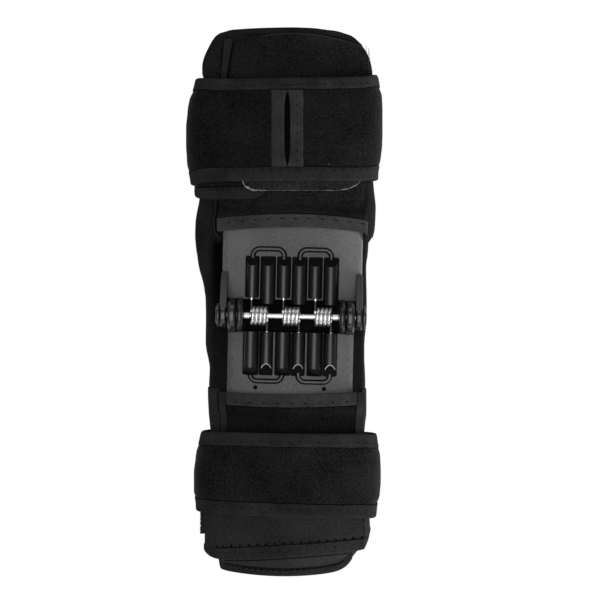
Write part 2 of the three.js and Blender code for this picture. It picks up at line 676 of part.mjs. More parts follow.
// The pairs of housings that a bead joins, on both shells.
const BEADED = [[0, 2], [3, 5]];
const UPPER_PLATE = { half: ARCH_HALF, side: 56, top: 71 };
const LOWER_PLATE = { half: 46.1, bottom: -63 };
// Where the upper housings begin, from the edge of the hinge window: those without a leg reach in over it.
const UPPER_START = { leg: 1.2, between: -3.4 };

function addUpperShell() {
  const { half, side, top } = UPPER_PLATE;
  const outline = new THREE.Shape();
  outline.moveTo(-half, HINGE_WINDOW);
  outline.lineTo(half, HINGE_WINDOW);
  outline.lineTo(half, side);
  outline.quadraticCurveTo(half, top - 5, half - 8, top - 4);
  outline.quadraticCurveTo(0, top + 4, -half + 8, top - 4);
  outline.quadraticCurveTo(-half, top - 5, -half, side);
  let shell = bentPlate(outline, half, HINGE_WINDOW - 1, top + 5);
  for (let k = 0; k < HOUSING_COUNT; k += 1) {
    const holdsLeg = k % 2 === 0;
    const start = HINGE_WINDOW + (holdsLeg ? UPPER_START.leg : UPPER_START.between);
    const radius = holdsLeg ? HOUSING_RADIUS.leg : HOUSING_RADIUS.upper;
    shell = shell.add(housing(housingX(k), radius, start, HOUSING_END, HOUSING_SLOPE.short));
  }
  for (const [from, to] of BEADED) shell = shell.add(hoseBead(housingX(from), housingX(to), 1));
  shell = shell.add(bothSides(EAR.from, EAR.to, (from, to) => lug(from, to, EAR_RADIUS, EAR_WEB)));
  shell = shell.add(bothSides(INNER_LUG.from, INNER_LUG.to, (from, to) => lug(from, to, KNUCKLE_RADIUS, LUG_WEB)));
  for (const k of [0, 2, 4]) shell = shell.subtract(legBore(k, 1));
  piece(hinge, 'upper_shell', geometryOf(shell.subtract(rodBore())), SHELL_PLASTIC);
}

function addLowerShell() {
  const { half, bottom } = LOWER_PLATE;
  const outline = new THREE.Shape();
  outline.moveTo(-half, -HINGE_WINDOW);
  outline.lineTo(-half, bottom + 6);
  outline.quadraticCurveTo(-half, bottom + 2, -half + 5, bottom + 1.5);
  outline.quadraticCurveTo(0, bottom - 1.5, half - 5, bottom + 1.5);
  outline.quadraticCurveTo(half, bottom + 2, half, bottom + 6);
  outline.lineTo(half, -HINGE_WINDOW);
  let shell = bentPlate(outline, half, bottom - 3, -HINGE_WINDOW + 1);
  for (let k = 0; k < HOUSING_COUNT; k += 1) {
    const holdsLeg = k % 2 === 1;
    const slope = holdsLeg ? HOUSING_SLOPE.long : HOUSING_SLOPE.short;
    const radius = holdsLeg ? HOUSING_RADIUS.leg : HOUSING_RADIUS.lower;
    shell = shell.add(housing(housingX(k), radius, -HINGE_WINDOW, -HOUSING_END, slope));
  }
  for (const [from, to] of BEADED) shell = shell.add(hoseBead(housingX(from), housingX(to), -1));
  const web = LUG_WEB.map(([y, z]) => [-y, z]).reverse();
  shell = shell.add(bothSides(LOWER_LUG.from, LOWER_LUG.to, (from, to) => lug(from, to, KNUCKLE_RADIUS, web)));
  for (const k of [1, 3, 5]) shell = shell.subtract(legBore(k, -1));
  for (const way of [-1, 1]) {
    const hole = new THREE.CylinderGeometry(SCREW_HOLE.radius, SCREW_HOLE.radius, 30, 10);
    shell = shell.subtract(solid(hole.rotateX(Math.PI / 2).translate(way * SCREW_HOLE.x, -SCREW_HOLE.y, CROWN)));
  }
  piece(hinge, 'lower_shell', geometryOf(shell.subtract(rodBore())), SHELL_PLASTIC);
}

// The line of a torsion spring's wire: a straight leg into the upper shell, the coil, and a leg into the lower shell.
class SpringWire extends THREE.Curve {
  getPoint(t, target = new THREE.Vector3()) {
    const coil = 2 * Math.PI * SPRING_MEAN_RADIUS * SPRING_TURNS;
    const at = t * (coil + 2 * LEG_LENGTH);
    if (at <= LEG_LENGTH) return target.set(0, LEG_LENGTH - at, LEG_Z);
    if (at >= LEG_LENGTH + coil) return target.set(HOUSING_PITCH, LEG_LENGTH + coil - at, LEG_Z);
    const share = (at - LEG_LENGTH) / coil;
    const angle = 2 * Math.PI * SPRING_TURNS * share;
    const y = -SPRING_MEAN_RADIUS * Math.sin(angle);
    return target.set(HOUSING_PITCH * share, y, HINGE_Z - SPRING_MEAN_RADIUS * Math.cos(angle));
  }
}

function addSpring(name, firstHousing) {
  const ring = new THREE.Shape().absarc(0, 0, WIRE_RADIUS, 0, 2 * Math.PI, false);
  const settings = { steps: 50, extrudePath: new SpringWire(), curveSegments: 3, bevelEnabled: false };
  const wire = new THREE.ExtrudeGeometry(ring, settings);
  piece(hinge, name, geometryOf(solid(wire.translate(housingX(firstHousing), 0, 0))), SPRING_STEEL);
}

// A domed rivet outside each ear, with a shank in the ear's bore. Its outline is drawn as radii and heights.
const CAP_SHANK = 3.5;
const CAP_HEAD = [[8.6, 0], [8.6, 1.4], [7, 2.4], [0, 2.7]];

function addPivotCap(name, way) {
  const outline = [[0, -CAP_SHANK], [ROD_RADIUS, -CAP_SHANK], [ROD_RADIUS, 0], ...CAP_HEAD];
  const cap = new THREE.LatheGeometry(outline.map(([r, h]) => new THREE.Vector2(r, h)), 14);
  cap.rotateZ(way * -Math.PI / 2).translate(way * (EAR.to + CLOTH_GAP), 0, HINGE_Z);
  piece(hinge, name, geometryOf(solid(cap)), CAP_PLASTIC);
}

function addHinge() {
  addUpperShell();
  addLowerShell();
  const rodEnd = EAR.to - CAP_SHANK;
  const rod = cylinderAlongX(ROD_RADIUS, -rodEnd, rodEnd, 16).translate(0, 0, HINGE_Z);
  piece(hinge, 'hinge_rod', rod, ROD_STEEL);
  addPivotCap('pivot_cap_left', -1);
  addPivotCap('pivot_cap_right', 1);
  addSpring('spring_left', 0);
  addSpring('spring_middle', 2);
  addSpring('spring_right', 4);
}

addLiner();
addCovers();
addThighWrap();
addThighStrap();
addShinWrap();
addShinStrap();
addHinge();

export default brace;
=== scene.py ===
"""Looks of the spring knee brace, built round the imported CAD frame.

The brace lies on its back: +Z points out of its front, +Y towards the thigh and +X to the right as the
front is seen. Sizes in this file are millimetres, apart from the stage, the flat sizes of the sheets and
what a comment gives in metres. The meshes are in metres.
"""

import math

import bpy
from mathutils import Matrix, Vector, noise


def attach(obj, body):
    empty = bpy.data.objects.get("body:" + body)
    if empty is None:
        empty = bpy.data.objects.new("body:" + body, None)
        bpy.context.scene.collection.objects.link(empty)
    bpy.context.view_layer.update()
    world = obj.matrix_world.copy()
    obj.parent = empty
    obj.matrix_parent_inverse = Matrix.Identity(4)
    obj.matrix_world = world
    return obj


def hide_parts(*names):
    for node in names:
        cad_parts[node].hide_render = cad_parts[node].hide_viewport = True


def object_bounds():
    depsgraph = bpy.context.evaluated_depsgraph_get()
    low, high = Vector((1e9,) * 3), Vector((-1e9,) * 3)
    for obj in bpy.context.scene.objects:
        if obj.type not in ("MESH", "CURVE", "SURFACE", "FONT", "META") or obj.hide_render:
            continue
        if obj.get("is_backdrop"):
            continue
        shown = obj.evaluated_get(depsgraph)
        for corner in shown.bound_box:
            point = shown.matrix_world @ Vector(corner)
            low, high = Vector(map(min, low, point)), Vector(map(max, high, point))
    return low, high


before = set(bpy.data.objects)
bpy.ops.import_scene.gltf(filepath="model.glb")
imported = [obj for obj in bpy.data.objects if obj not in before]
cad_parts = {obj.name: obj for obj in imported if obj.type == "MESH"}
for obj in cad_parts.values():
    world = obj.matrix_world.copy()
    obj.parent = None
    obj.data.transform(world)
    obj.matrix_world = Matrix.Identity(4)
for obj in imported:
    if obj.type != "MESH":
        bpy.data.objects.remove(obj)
cad_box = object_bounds()

# Sizes that the CAD source gives too

MM = 0.001
GAP = 0.3
TAPE = 1.0
CROWN = 46.8
ARCH_RADIUS = 190.0
SHELL_X = 4.8
ARCH_HALF = 51.4
ARCH_LEAN = math.asin(ARCH_HALF / ARCH_RADIUS)
WIDEST_Z = 26.0
BACK_ROUND = 22.0

# Layers of cloth, as distances outward from the liner's outer face
LINER_LAYER = (-3.0, 0.0)
COVER_LAYER = (0.3, 2.3)
POCKET_LIFT = 3.8
WING_LAYER = (2.6, 4.2)
HOOK_LAYER = (4.5, 5.5)
STRAP_LAYER = (-2.0, 0.0)
SHIN_WRAP_LAYER = (3.4, 5.4)
BINDING_REACH = 9.0
TRIM = 0.55
TRIM_GAP = 0.12
TRIM_FACE = TRIM_GAP + TRIM

HINGE_Y = -10.4
HINGE_Z = 57.45
HINGE_TURN = math.radians(-1.3)
SPRING_TURNS = 4
SPRING_PITCH = 2.9
SPRING_RADIUS = 5.85
WIRE_RADIUS = 1.3
LEG_LENGTH = 27.0
HOUSING_PITCH = SPRING_TURNS * SPRING_PITCH
HOUSING_Z = 49.4
HOUSING_END = 43.0
HINGE_WINDOW = 11.8
PLATE_LAYER = (0.8, 3.2)

# Loops of cloth: y, the leftmost and rightmost reach of the outer face, and the height of its back
LINER_ROWS = [
    (200, -60, 62, 8),
    (170, -60.6, 62.9, 8),
    (155, -60, 62, 8),
    (120, -60.2, 61.8, 8),
    (95, -61, 62.6, 8),
    (83, -62.6, 63.6, 8),
    (74, -63.6, 63.8, 8),
    (65, -65.4, 63.2, 8),
    (57, -66.3, 62.8, 8),
    (50, -66.5, 62.2, 8),
    (43, -66.1, 61.9, 8),
    (34, -64.9, 61.2, 8),
    (25, -63.5, 60.2, 8),
    (16, -61, 60.3, 8),
    (8, -59.5, 60.5, 8),
    (0, -58.7, 60.6, 8),
    (-14, -58.5, 60.4, 8),
    (-28, -58.7, 59, 8),
    (-34, -58.3, 58.8, 8),
    (-42, -56.7, 58.8, 8),
    (-50, -55.7, 59.2, 8),
    (-62, -56.2, 59.5, 8),
    (-80, -55.7, 59.6, 8),
    (-90, -54.8, 58.6, 8),
    (-106, -53.8, 57.6, 8),
    (-158, -53.6, 58, 8),
    (-200, -52, 58, 8),
]
WING_ROWS = [
    (150, -65, 65, 5.2),
    (88, -66.8, 65, 5.2),
    (82, -67.1, 65, 5.2),
    (78, -66.5, 65, 5.2),
    (74, -65.6, 65, 5.2),
]
THIGH_STRAP_ROWS = [
    (166, -64.6, 68.2, 1.6),
    (163, -65.9, 69.1, 1.6),
    (158, -67.1, 69.8, 1.6),
    (154, -68.5, 71, 1.6),
    (149, -70.2, 71.5, 0.8),
    (138, -71.8, 71.8, 0),
    (125, -72.7, 71.8, 0),
    (118, -72.7, 71.6, 0),
    (109, -72.3, 70.8, 0),
    (100, -71.6, 69.4, 1.6),
    (95, -70.4, 68.6, 1.6),
    (86, -69, 68.4, 1.6),
]
SHIN_WRAP_ROWS = [
    (-106, -58.6, 62.2, 5.6),
    (-158, -59.4, 62.6, 5.6),
    (-166, -59.4, 63, 3),
    (-171, -59.4, 62, 1.6),
    (-180, -59.4, 60.6, 1.6),
    (-190, -58, 58, 1.6),
]
SHIN_STRAP_ROWS = [
    (-95, -60.6, 66.6, 1.6),
    (-99, -62.2, 67.5, 1.6),
    (-104, -63.1, 68.2, 1.6),
    (-108, -64.4, 69, 0.8),
    (-117, -65.8, 70.2, 0),
    (-130, -66.9, 70.5, 0),
    (-139, -66.9, 70, 0),
    (-144, -66.2, 69.4, 0.8),
    (-148, -65.5, 68.2, 1.6),
    (-153, -65.2, 67.5, 1.6),
    (-158, -64.2, 67.1, 1.6),
]


def inside_loop(rows, distance):
    """The rows of a loop that lies a distance inside the one that is listed."""
    return [(y, left + distance, right - distance, base + distance) for y, left, right, base in rows]


LINER = (0.0, LINER_ROWS)
WING = (0.0, inside_loop(WING_ROWS, WING_LAYER[1]))
THIGH_STRAP = (9.3, THIGH_STRAP_ROWS)
SHIN_WRAP = (0.0, inside_loop(SHIN_WRAP_ROWS, SHIN_WRAP_LAYER[1]))
SHIN_STRAP = (9.1, SHIN_STRAP_ROWS)

# Curves round the leg


def column_at(rows, column, y):
    """A column of a row table at y, on a cubic through every row that never overshoots one."""
    last = len(rows) - 1
    inside = min(max(y, rows[last][0]), rows[0][0])
    after = next(i for i, row in enumerate(rows) if row[0] <= inside)
    k = min(max(after - 1, 0), last - 1)

    def steepness(i):
        return (rows[i][column] - rows[i + 1][column]) / (rows[i][0] - rows[i + 1][0])

    def slope(i):
        above = steepness(max(i - 1, 0))
        below = steepness(min(i, last - 1))
        return 2 * above * below / (above + below) if above * below > 0 else 0.0

    span = rows[k + 1][0] - rows[k][0]
    t = (inside - rows[k][0]) / span
    near = rows[k][column] + t * span * slope(k)
    far = rows[k + 1][column] - (1 - t) * span * slope(k + 1)
    ease = t * t * (3 - 2 * t)
    return near * (1 - ease) + far * ease


def smoothstep(start, end, value):
    t = min(max((value - start) / (end - start), 0.0), 1.0)
    return t * t * (3 - 2 * t)


def bend(a, b, c, t):
    """A point of a curve from a to c that leaves towards b and arrives from b."""
    return tuple((1 - t) ** 2 * a[k] + 2 * t * (1 - t) * b[k] + t * t * c[k] for k in (0, 1))


def loop_point(loop, turn, y, out):
    """A point on a loop round the leg, out from its outer face.

    turn is 0 on the front's middle line, 1 and -1 at the shoulders of the arch, 2 and -2 at the widest
    points, 3 and -3 where the flat back starts, and 4 or -4 at the back's middle.
    """
    rise, rows = loop
    side = -1 if turn < 0 else 1
    way = abs(turn)
    radius = ARCH_RADIUS + rise + out

    def arch(angle):
        return (SHELL_X + radius * math.sin(angle), CROWN - ARCH_RADIUS + radius * math.cos(angle))

    if way <= 1:
        x, z = arch(turn * ARCH_LEAN)
        return Vector((x, y, z))
    reach = column_at(rows, 1 if side < 0 else 2, y) + side * out
    base = column_at(rows, 3, y) - out
    shoulder = arch(side * ARCH_LEAN)
    brow = (reach, shoulder[1] - abs(reach - shoulder[0]) * math.tan(ARCH_LEAN))
    widest = (reach, WIDEST_Z)
    heel = (reach - side * BACK_ROUND, base)
    if way <= 2:
        x, z = bend(shoulder, brow, widest, way - 1)
    elif way <= 3:
        x, z = bend(widest, (reach, base), heel, way - 2)
    else:
        x, z = heel[0] * (4 - way), base
    return Vector((x, y, z))


def turn_at(x, rise=0.0):
    """The turn at which the front arch reaches x."""
    return math.asin((x - SHELL_X) / (ARCH_RADIUS + rise)) / ARCH_LEAN


def in_front(turn):
    """1 round the front and sides, falling to 0 at the middle of the back."""
    return 1 - smoothstep(2.4, 4, abs(turn))


def across(turn):
    """How far to the right a turn lies, from -1 at the left side to 1 at the right and 0 at the back."""
    return math.sin(min(max(turn, -2), 2) * math.pi / 4) * in_front(turn)


def uneven(seed, place, size):
    """A slow, repeatable wander between -1 and 1."""
    return noise.noise(Vector((place / size, seed * 7.31, seed * 3.17)))


# Modelling


def deselect_all():
    if bpy.context.mode != "OBJECT":
        bpy.ops.object.mode_set(mode="OBJECT")
    bpy.ops.object.select_all(action="DESELECT")


def take_up(piece):
    """Makes a piece the only one that is selected."""
    deselect_all()
    piece.select_set(True)
    bpy.context.view_layer.objects.active = piece


def apply_modifier(piece, kind, **settings):
    take_up(piece)
    bpy.ops.object.modifier_add(type=kind)
    modifier = piece.modifiers[-1]
    for name, value in settings.items():
        setattr(modifier, name, value)
    bpy.ops.object.modifier_apply(modifier=modifier.name)


def round_edges(piece, width, segments=3, angle=35):
    limit = {"limit_method": "ANGLE", "angle_limit": math.radians(angle)}
    apply_modifier(piece, "BEVEL", width=width * MM, segments=segments, **limit)


def smooth(piece, angle=40):
    take_up(piece)
    bpy.ops.object.shade_smooth_by_angle(angle=math.radians(angle))


def join(name, parts):
    take_up(parts[0])
    for part in parts:
        part.select_set(True)
    bpy.ops.object.join()
    piece = bpy.context.active_object
    piece.name = name
    piece.data.name = name
    return piece


def sheet_grid(name, columns, rows, place, size):
    """A grid whose points are moved on to the brace. place takes shares of the way across and up.

    The map for weave patterns is in metres, from the sheet's flat size.
    """
    deselect_all()
    bpy.ops.mesh.primitive_grid_add(x_subdivisions=columns, y_subdivisions=rows, size=1)
    piece = bpy.context.active_object
    piece.name = name
    piece.data.name = name
    for vertex in piece.data.vertices:
        vertex.co = MM * place(vertex.co.x + 0.5, vertex.co.y + 0.5)
    for corner in piece.data.uv_layers.active.data:
        corner.uv = (corner.uv.x * size[0] * MM, corner.uv.y * size[1] * MM)
    return piece


def edit():
    """Opens the active piece in edit mode with all of it selected."""
    bpy.ops.object.mode_set(mode="EDIT")
    bpy.ops.mesh.select_all(action="SELECT")


def leave_edit():
    bpy.ops.object.mode_set(mode="OBJECT")


def edit_chosen(piece, kind, chosen):
    """Opens a piece in edit mode with only those vertices, edges or faces selected that chosen picks."""
    take_up(piece)
    bpy.ops.object.mode_set(mode="EDIT")
    bpy.ops.mesh.select_mode(type=kind)
    bpy.ops.mesh.select_all(action="DESELECT")
    leave_edit()
    parts = {"VERT": piece.data.vertices, "EDGE": piece.data.edges, "FACE": piece.data.polygons}[kind]
    for part in parts:
        part.select = chosen(part)
    bpy.ops.object.mode_set(mode="EDIT")


def extrude(x, y, z):
    """Draws what is selected out by distances in millimetres."""
    bpy.ops.mesh.extrude_region_move(TRANSFORM_OT_translate={"value": (x * MM, y * MM, z * MM)})


def face_outward():
    """Turns every face of the piece in edit mode outward, and leaves edit mode."""
    bpy.ops.mesh.select_all(action="SELECT")
    bpy.ops.mesh.normals_make_consistent(inside=False)
    leave_edit()


def close_loop(piece):
    """Merges the two ends of a sheet that goes all the way round."""
    take_up(piece)
    edit()
    bpy.ops.mesh.remove_doubles(threshold=0.01 * MM)
    leave_edit()


def thicken(piece, thick, offset, rim):
    """Gives a sheet its thickness, inward for offset -1 and outward for 1, and a soft rim."""
    apply_modifier(piece, "SOLIDIFY", thickness=thick * MM, offset=offset, use_even_offset=True)
    round_edges(piece, rim, segments=3, angle=55)
    smooth(piece, 60)


def panel(name, loop, turns, edges, layer, columns, rows, lift=None, lean=None, closed=False, rim=0.5):
    """A panel of cloth on a loop, between a low and a high edge whose heights depend on the turn."""
    first, last = turns
    low, high = edges

    def place(u, v):
        turn = first + (last - first) * u
        y = low(turn) + (high(turn) - low(turn)) * v
        out = layer[1] + (lift(y, turn) if lift else 0)
        return loop_point(loop, turn + (lean(y, turn) if lean else 0), y, out)

    width = (last - first) * ARCH_HALF
    piece = sheet_grid(name, columns, rows, place, (width, high(0) - low(0)))
    if closed:
        close_loop(piece)
    thicken(piece, layer[1] - layer[0], -1, rim)
    return piece


def tape_reach(seed, turn, reach):
    """How far a folded tape reaches from its edge: a little uneven, as it is sewn on by eye."""
    wide = reach(turn) if callable(reach) else reach
    return wide * (1 + 0.04 * uneven(seed, turn * ARCH_HALF, 11))


def binding(name, loop, turns, edge, up, layer, columns, reach=BINDING_REACH, closed=False, seed=1):
    """A tape folded over one edge of a panel. up is 1 over a high edge and -1 under a low one.

    reach is a width, or a function that gives one for each turn.
    """
    first, last = turns
    gap = TRIM_GAP
    front = layer[1] + gap
    back = layer[0] - gap
    fold = min(0.8, (front - back) / 3)
    flat = (-1.0, -0.6, -0.2, -0.04)
    path = [(front, share) for share in flat]
    path += [(front - fold * 0.3, gap * 0.8), (front - fold, gap)]
    path += [(back + fold, gap), (back + fold * 0.3, gap * 0.8)]
    path += [(back, share) for share in reversed(flat)]
    if up < 0:
        path.reverse()

    def place(u, v):
        turn = first + (last - first) * u
        out, beyond = path[round(v * (len(path) - 1))]
        if beyond < 0:
            beyond *= tape_reach(seed, turn, reach)
        return loop_point(loop, turn, edge(turn) + up * beyond, out)

    size = ((last - first) * ARCH_HALF, 2 * BINDING_REACH)
    piece = sheet_grid(name, columns, len(path) - 1, place, size)
    if closed:
        close_loop(piece)
    thicken(piece, TRIM, 1, 0.2)
    return piece


def crease(name, loop, turns, height, out, columns, width=0.9, lift=None):
    """A ribbon on the cloth along a line: painted shade along a pressed seam, and with a light material a
    painted highlight.
    """
    first, last = turns

    def place(u, v):
        turn = first + (last - first) * u
        y = height(turn) + width * (v - 0.5)
        return loop_point(loop, turn, y, out + 0.12 + (lift(y, turn) if lift else 0))

    piece = sheet_grid(name, columns, 2, place, ((last - first) * ARCH_HALF, width))
    thicken(piece, 0.1, -1, 0.03)
    return piece


def stitches(name, spots, length, width, height=0.5):
    """A row of stitches, one pill for each spot.

    A spot is a point, the thread's direction and the cloth's outward direction.
    """
    deselect_all()
    bpy.ops.mesh.primitive_uv_sphere_add(segments=8, ring_count=6, radius=0.5)
    pill = bpy.context.active_object
    parts = []
    for point, along, outward in spots:
        side = outward.cross(along).normalized()
        turned = Matrix((along, side, outward)).transposed().to_4x4()
        grow = Matrix.Diagonal((length * MM, width * MM, height * MM, 1))
        mesh = pill.data.copy()
        mesh.transform(Matrix.Translation(MM * point) @ turned @ grow)
        part = bpy.data.objects.new(name, mesh)
        bpy.context.scene.collection.objects.link(part)
        parts.append(part)
    bpy.data.objects.remove(pill)
    piece = join(name, parts)
    smooth(piece, 80)
    return piece


def cloth_frame(loop, turn, y, out):
    """A point on a loop with its directions round the leg, up the leg and outward."""
    point = loop_point(loop, turn, y, out)
    step = 0.01
    ahead = (loop_point(loop, turn + step, y, out) - loop_point(loop, turn - step, y, out)).normalized()
    up = (loop_point(loop, turn, y + 0.5, out) - loop_point(loop, turn, y - 0.5, out)).normalized()
    return point, ahead, up, ahead.cross(up).normalized()


def row_across(loop, xs, height, out, lift=None):
    """Spots for stitches that run round the leg, at places x along the front."""
    spots = []
    for x in xs:
        turn = turn_at(x, loop[0])
        y = height(turn)
        point, ahead, up, outward = cloth_frame(loop, turn, y, out + (lift(y, turn) if lift else 0))
        spots.append((point, ahead, outward))
    return spots


def evenly(first, last, pitch):
    count = max(round((last - first) / pitch), 1)
    return [first + (last - first) * k / count for k in range(count + 1)]


def level(y):
    """An edge at the same height all the way round."""
    return lambda turn: y


def moved(edge, distance):
    """An edge moved up by a distance."""
    return lambda turn: edge(turn) + distance


# Materials


def node(tree, kind, **settings):
    made = tree.nodes.new(kind)
    for name, value in settings.items():
        setattr(made, name, value)
    return made


def make_group(name, inputs, outputs):
    """A shader node group with number inputs and outputs, and its two end nodes."""
    tree = bpy.data.node_groups.new(name, "ShaderNodeTree")
    for label, value in inputs:
        socket = tree.interface.new_socket(label, in_out="INPUT", socket_type="NodeSocketFloat")
        socket.default_value = value
    for label in outputs:
        tree.interface.new_socket(label, in_out="OUTPUT", socket_type="NodeSocketFloat")
    return tree, node(tree, "NodeGroupInput"), node(tree, "NodeGroupOutput")


def maths(tree, operation, first, second, clamp=False):
    """A Math node. Its operands are sockets or numbers."""
    made = node(tree, "ShaderNodeMath", operation=operation, use_clamp=clamp)
    for socket, value in zip(made.inputs, (first, second)):
        if isinstance(value, (int, float)):
            socket.default_value = value
        else:
            tree.links.new(value, socket)
    return made.outputs[0]


def noise_field(tree, coordinates, scale, detail, roughness=0.6):
    field = node(tree, "ShaderNodeTexNoise")
    tree.links.new(coordinates, field.inputs["Vector"])
    if isinstance(scale, (int, float)):
        field.inputs["Scale"].default_value = scale
    else:
        tree.links.new(scale, field.inputs["Scale"])
    field.inputs["Detail"].default_value = detail
    field.inputs["Roughness"].default_value = roughness
    return field.outputs["Fac"]


def ranged(tree, value, start, end, low=0.0, high=1.0):
    """A value mapped from one range to another and held inside it."""
    made = node(tree, "ShaderNodeMapRange")
    tree.links.new(value, made.inputs["Value"])
    made.inputs["From Min"].default_value = start
    made.inputs["From Max"].default_value = end
    made.inputs["To Min"].default_value = low
    made.inputs["To Max"].default_value = high
    return made.outputs["Result"]


def object_places(tree):
    return node(tree, "ShaderNodeTexCoord").outputs["Object"]


def separate_places(tree):
    """The three coordinates of a point of the piece, in metres."""
    split = node(tree, "ShaderNodeSeparateXYZ")
    tree.links.new(object_places(tree), split.inputs["Vector"])
    return split.outputs


def sideways_from(tree, places, middle):
    """How far a point lies to either side of a place along X, in metres."""
    return maths(tree, "ABSOLUTE", maths(tree, "SUBTRACT", places["X"], middle * MM), 0.0)


def cell_distance(tree, coordinates, scale):
    """How far a point lies from the middle of its cell, in a pattern of cells."""
    cells = node(tree, "ShaderNodeTexVoronoi", feature="F1")
    tree.links.new(coordinates, cells.inputs["Vector"])
    tree.links.new(scale, cells.inputs["Scale"])
    return cells.outputs["Distance"]


def weighted_sum(tree, first, first_share, second, second_share):
    """Two sockets added up by their shares."""
    pairs = ((first, first_share), (second, second_share))
    return maths(tree, "ADD", *(maths(tree, "MULTIPLY", value, share) for value, share in pairs))


PATCH_RANGE = (0.35, 0.65)


def mottle(tree, fine, fine_range, share, slow):
    """A tone that comes by a share from a fine pattern, and for the rest from slow patches."""
    grainy = ranged(tree, fine, *fine_range, 0, share)
    return maths(tree, "ADD", grainy, ranged(tree, slow, *PATCH_RANGE, 0, 1 - share))


def make_pile_group():
    """Loop pile: tufts a few strands wide over slow patches where the nap lies another way."""
    inputs = [("Tufts per metre", 820.0), ("Patches per metre", 30.0)]
    tree, start, end = make_group("loop_pile", inputs, ["Tone", "Height"])
    places = object_places(tree)
    tufts = noise_field(tree, places, start.outputs["Tufts per metre"], 4, 0.7)
    patches = noise_field(tree, places, start.outputs["Patches per metre"], 3, 0.55)
    crests = maths(tree, "SUBTRACT", 1.0, cell_distance(tree, places, start.outputs["Tufts per metre"]))
    tree.links.new(weighted_sum(tree, tufts, 0.7, crests, 0.3), end.inputs["Height"])
    tree.links.new(mottle(tree, tufts, (0.39, 0.63), 0.7, patches), end.inputs["Tone"])
    return tree


def make_lint_group():
    """Stray specks of lint, as a mask."""
    inputs = [("Specks per metre", 60.0), ("Speck size", 0.02)]
    tree, start, end = make_group("lint", inputs, ["Mask"])
    distance = cell_distance(tree, object_places(tree), start.outputs["Specks per metre"])
    tree.links.new(maths(tree, "LESS_THAN", distance, start.outputs["Speck size"]), end.inputs["Mask"])
    return tree


def make_rib_group():
    """The fine ribs of a woven tape, across its length, broken up by its yarn."""
    tree, start, end = make_group("tape_ribs", [("Ribs per metre", 900.0)], ["Tone", "Height"])
    coordinates = node(tree, "ShaderNodeTexCoord")
    ribs = node(tree, "ShaderNodeTexWave", wave_type="BANDS", bands_direction="X", wave_profile="SIN")
    tree.links.new(coordinates.outputs["UV"], ribs.inputs["Vector"])
    scale = maths(tree, "MULTIPLY", start.outputs["Ribs per metre"], 1 / math.pi)
    tree.links.new(scale, ribs.inputs["Scale"])
    ribs.inputs["Distortion"].default_value = 1.5
    ribs.inputs["Detail Scale"].default_value = 3.0
    yarn = noise_field(tree, coordinates.outputs["Object"], 700.0, 4, 0.7)
    shade = noise_field(tree, coordinates.outputs["Object"], 70.0, 3, 0.55)
    tree.links.new(weighted_sum(tree, ribs.outputs["Fac"], 0.4, yarn, 0.6), end.inputs["Height"])
    tree.links.new(mottle(tree, yarn, (0.3, 0.7), 0.55, shade), end.inputs["Tone"])
    return tree


def make_grain_group():
    """Spark-eroded mould grain: small pits with soft edges."""
    tree, start, end = make_group("mould_grain", [("Grains per metre", 1500.0)], ["Tone", "Height"])
    places = object_places(tree)
    pits = noise_field(tree, places, start.outputs["Grains per metre"], 2, 0.5)
    drift = noise_field(tree, places, 45.0, 2, 0.5)
    tree.links.new(pits, end.inputs["Height"])
    tree.links.new(mottle(tree, pits, (0.3, 0.7), 0.7, drift), end.inputs["Tone"])
    return tree


# Where the shells shade the liner: the middle in millimetres, and heights in metres between which it fades
SHADE_MIDDLE = 2.2
SHADE_TOP = (0.042, 0.05)
SHADE_FOOT = (-0.072, -0.064)
SHADE_WEAKER = (-0.03, 0.015)


def make_shade_group():
    """How deep in the shade of the shells a point of the liner lies, as a mask. Its inputs are in metres."""
    inputs = [("Half width", 0.0562), ("Soft", 0.006)]
    tree, start, end = make_group("shell_shade", inputs, ["Mask"])
    places = separate_places(tree)
    beyond = maths(tree, "SUBTRACT", sideways_from(tree, places, SHADE_MIDDLE), start.outputs["Half width"])
    near = maths(tree, "SUBTRACT", 0.5, maths(tree, "DIVIDE", beyond, start.outputs["Soft"]), clamp=True)
    below = ranged(tree, places["Y"], *SHADE_TOP, 1, 0)
    above = ranged(tree, places["Y"], *SHADE_FOOT, 0, 1)
    depth = ranged(tree, places["Y"], *SHADE_WEAKER, 0.5, 1)
    span = maths(tree, "MULTIPLY", maths(tree, "MULTIPLY", below, above), depth)
    tree.links.new(maths(tree, "MULTIPLY", near, span), end.inputs["Mask"])
    return tree


PILE = make_pile_group()
LINT = make_lint_group()
RIBS = make_rib_group()
GRAIN = make_grain_group()
SHADE = make_shade_group()


def use_group(tree, group, **values):
    placed = node(tree, "ShaderNodeGroup")
    placed.node_tree = group
    for label, value in values.items():
        placed.inputs[label.replace("_", " ")].default_value = value
    return placed


def mix_colours(tree, share, dark, light):
    made = node(tree, "ShaderNodeMix", data_type="RGBA")
    tree.links.new(share, made.inputs["Factor"])
    for socket, value in ((made.inputs["A"], dark), (made.inputs["B"], light)):
        if isinstance(value, (int, float)):
            socket.default_value = (value, value, value, 1)
        else:
            tree.links.new(value, socket)
    return made.outputs["Result"]


def start_material(name):
    material = bpy.data.materials.new(name)
    material.use_nodes = True
    return material, material.node_tree, material.node_tree.nodes["Principled BSDF"]


def add_bump(tree, shader, height, strength, distance):
    bump = node(tree, "ShaderNodeBump")
    bump.inputs["Strength"].default_value = strength
    bump.inputs["Distance"].default_value = distance * MM
    tree.links.new(height, bump.inputs["Height"])
    tree.links.new(bump.outputs["Normal"], shader.inputs["Normal"])


def vary_roughness(tree, shader, tone, low, high):
    tree.links.new(ranged(tree, tone, 0, 1, low, high), shader.inputs["Roughness"])


LINT_TONE = 0.12
SHADED_TONE = 0.0008
# Where a shell's flanks are painted lighter, in millimetres to either side of its middle: painted light
FLANK = (18, 45)


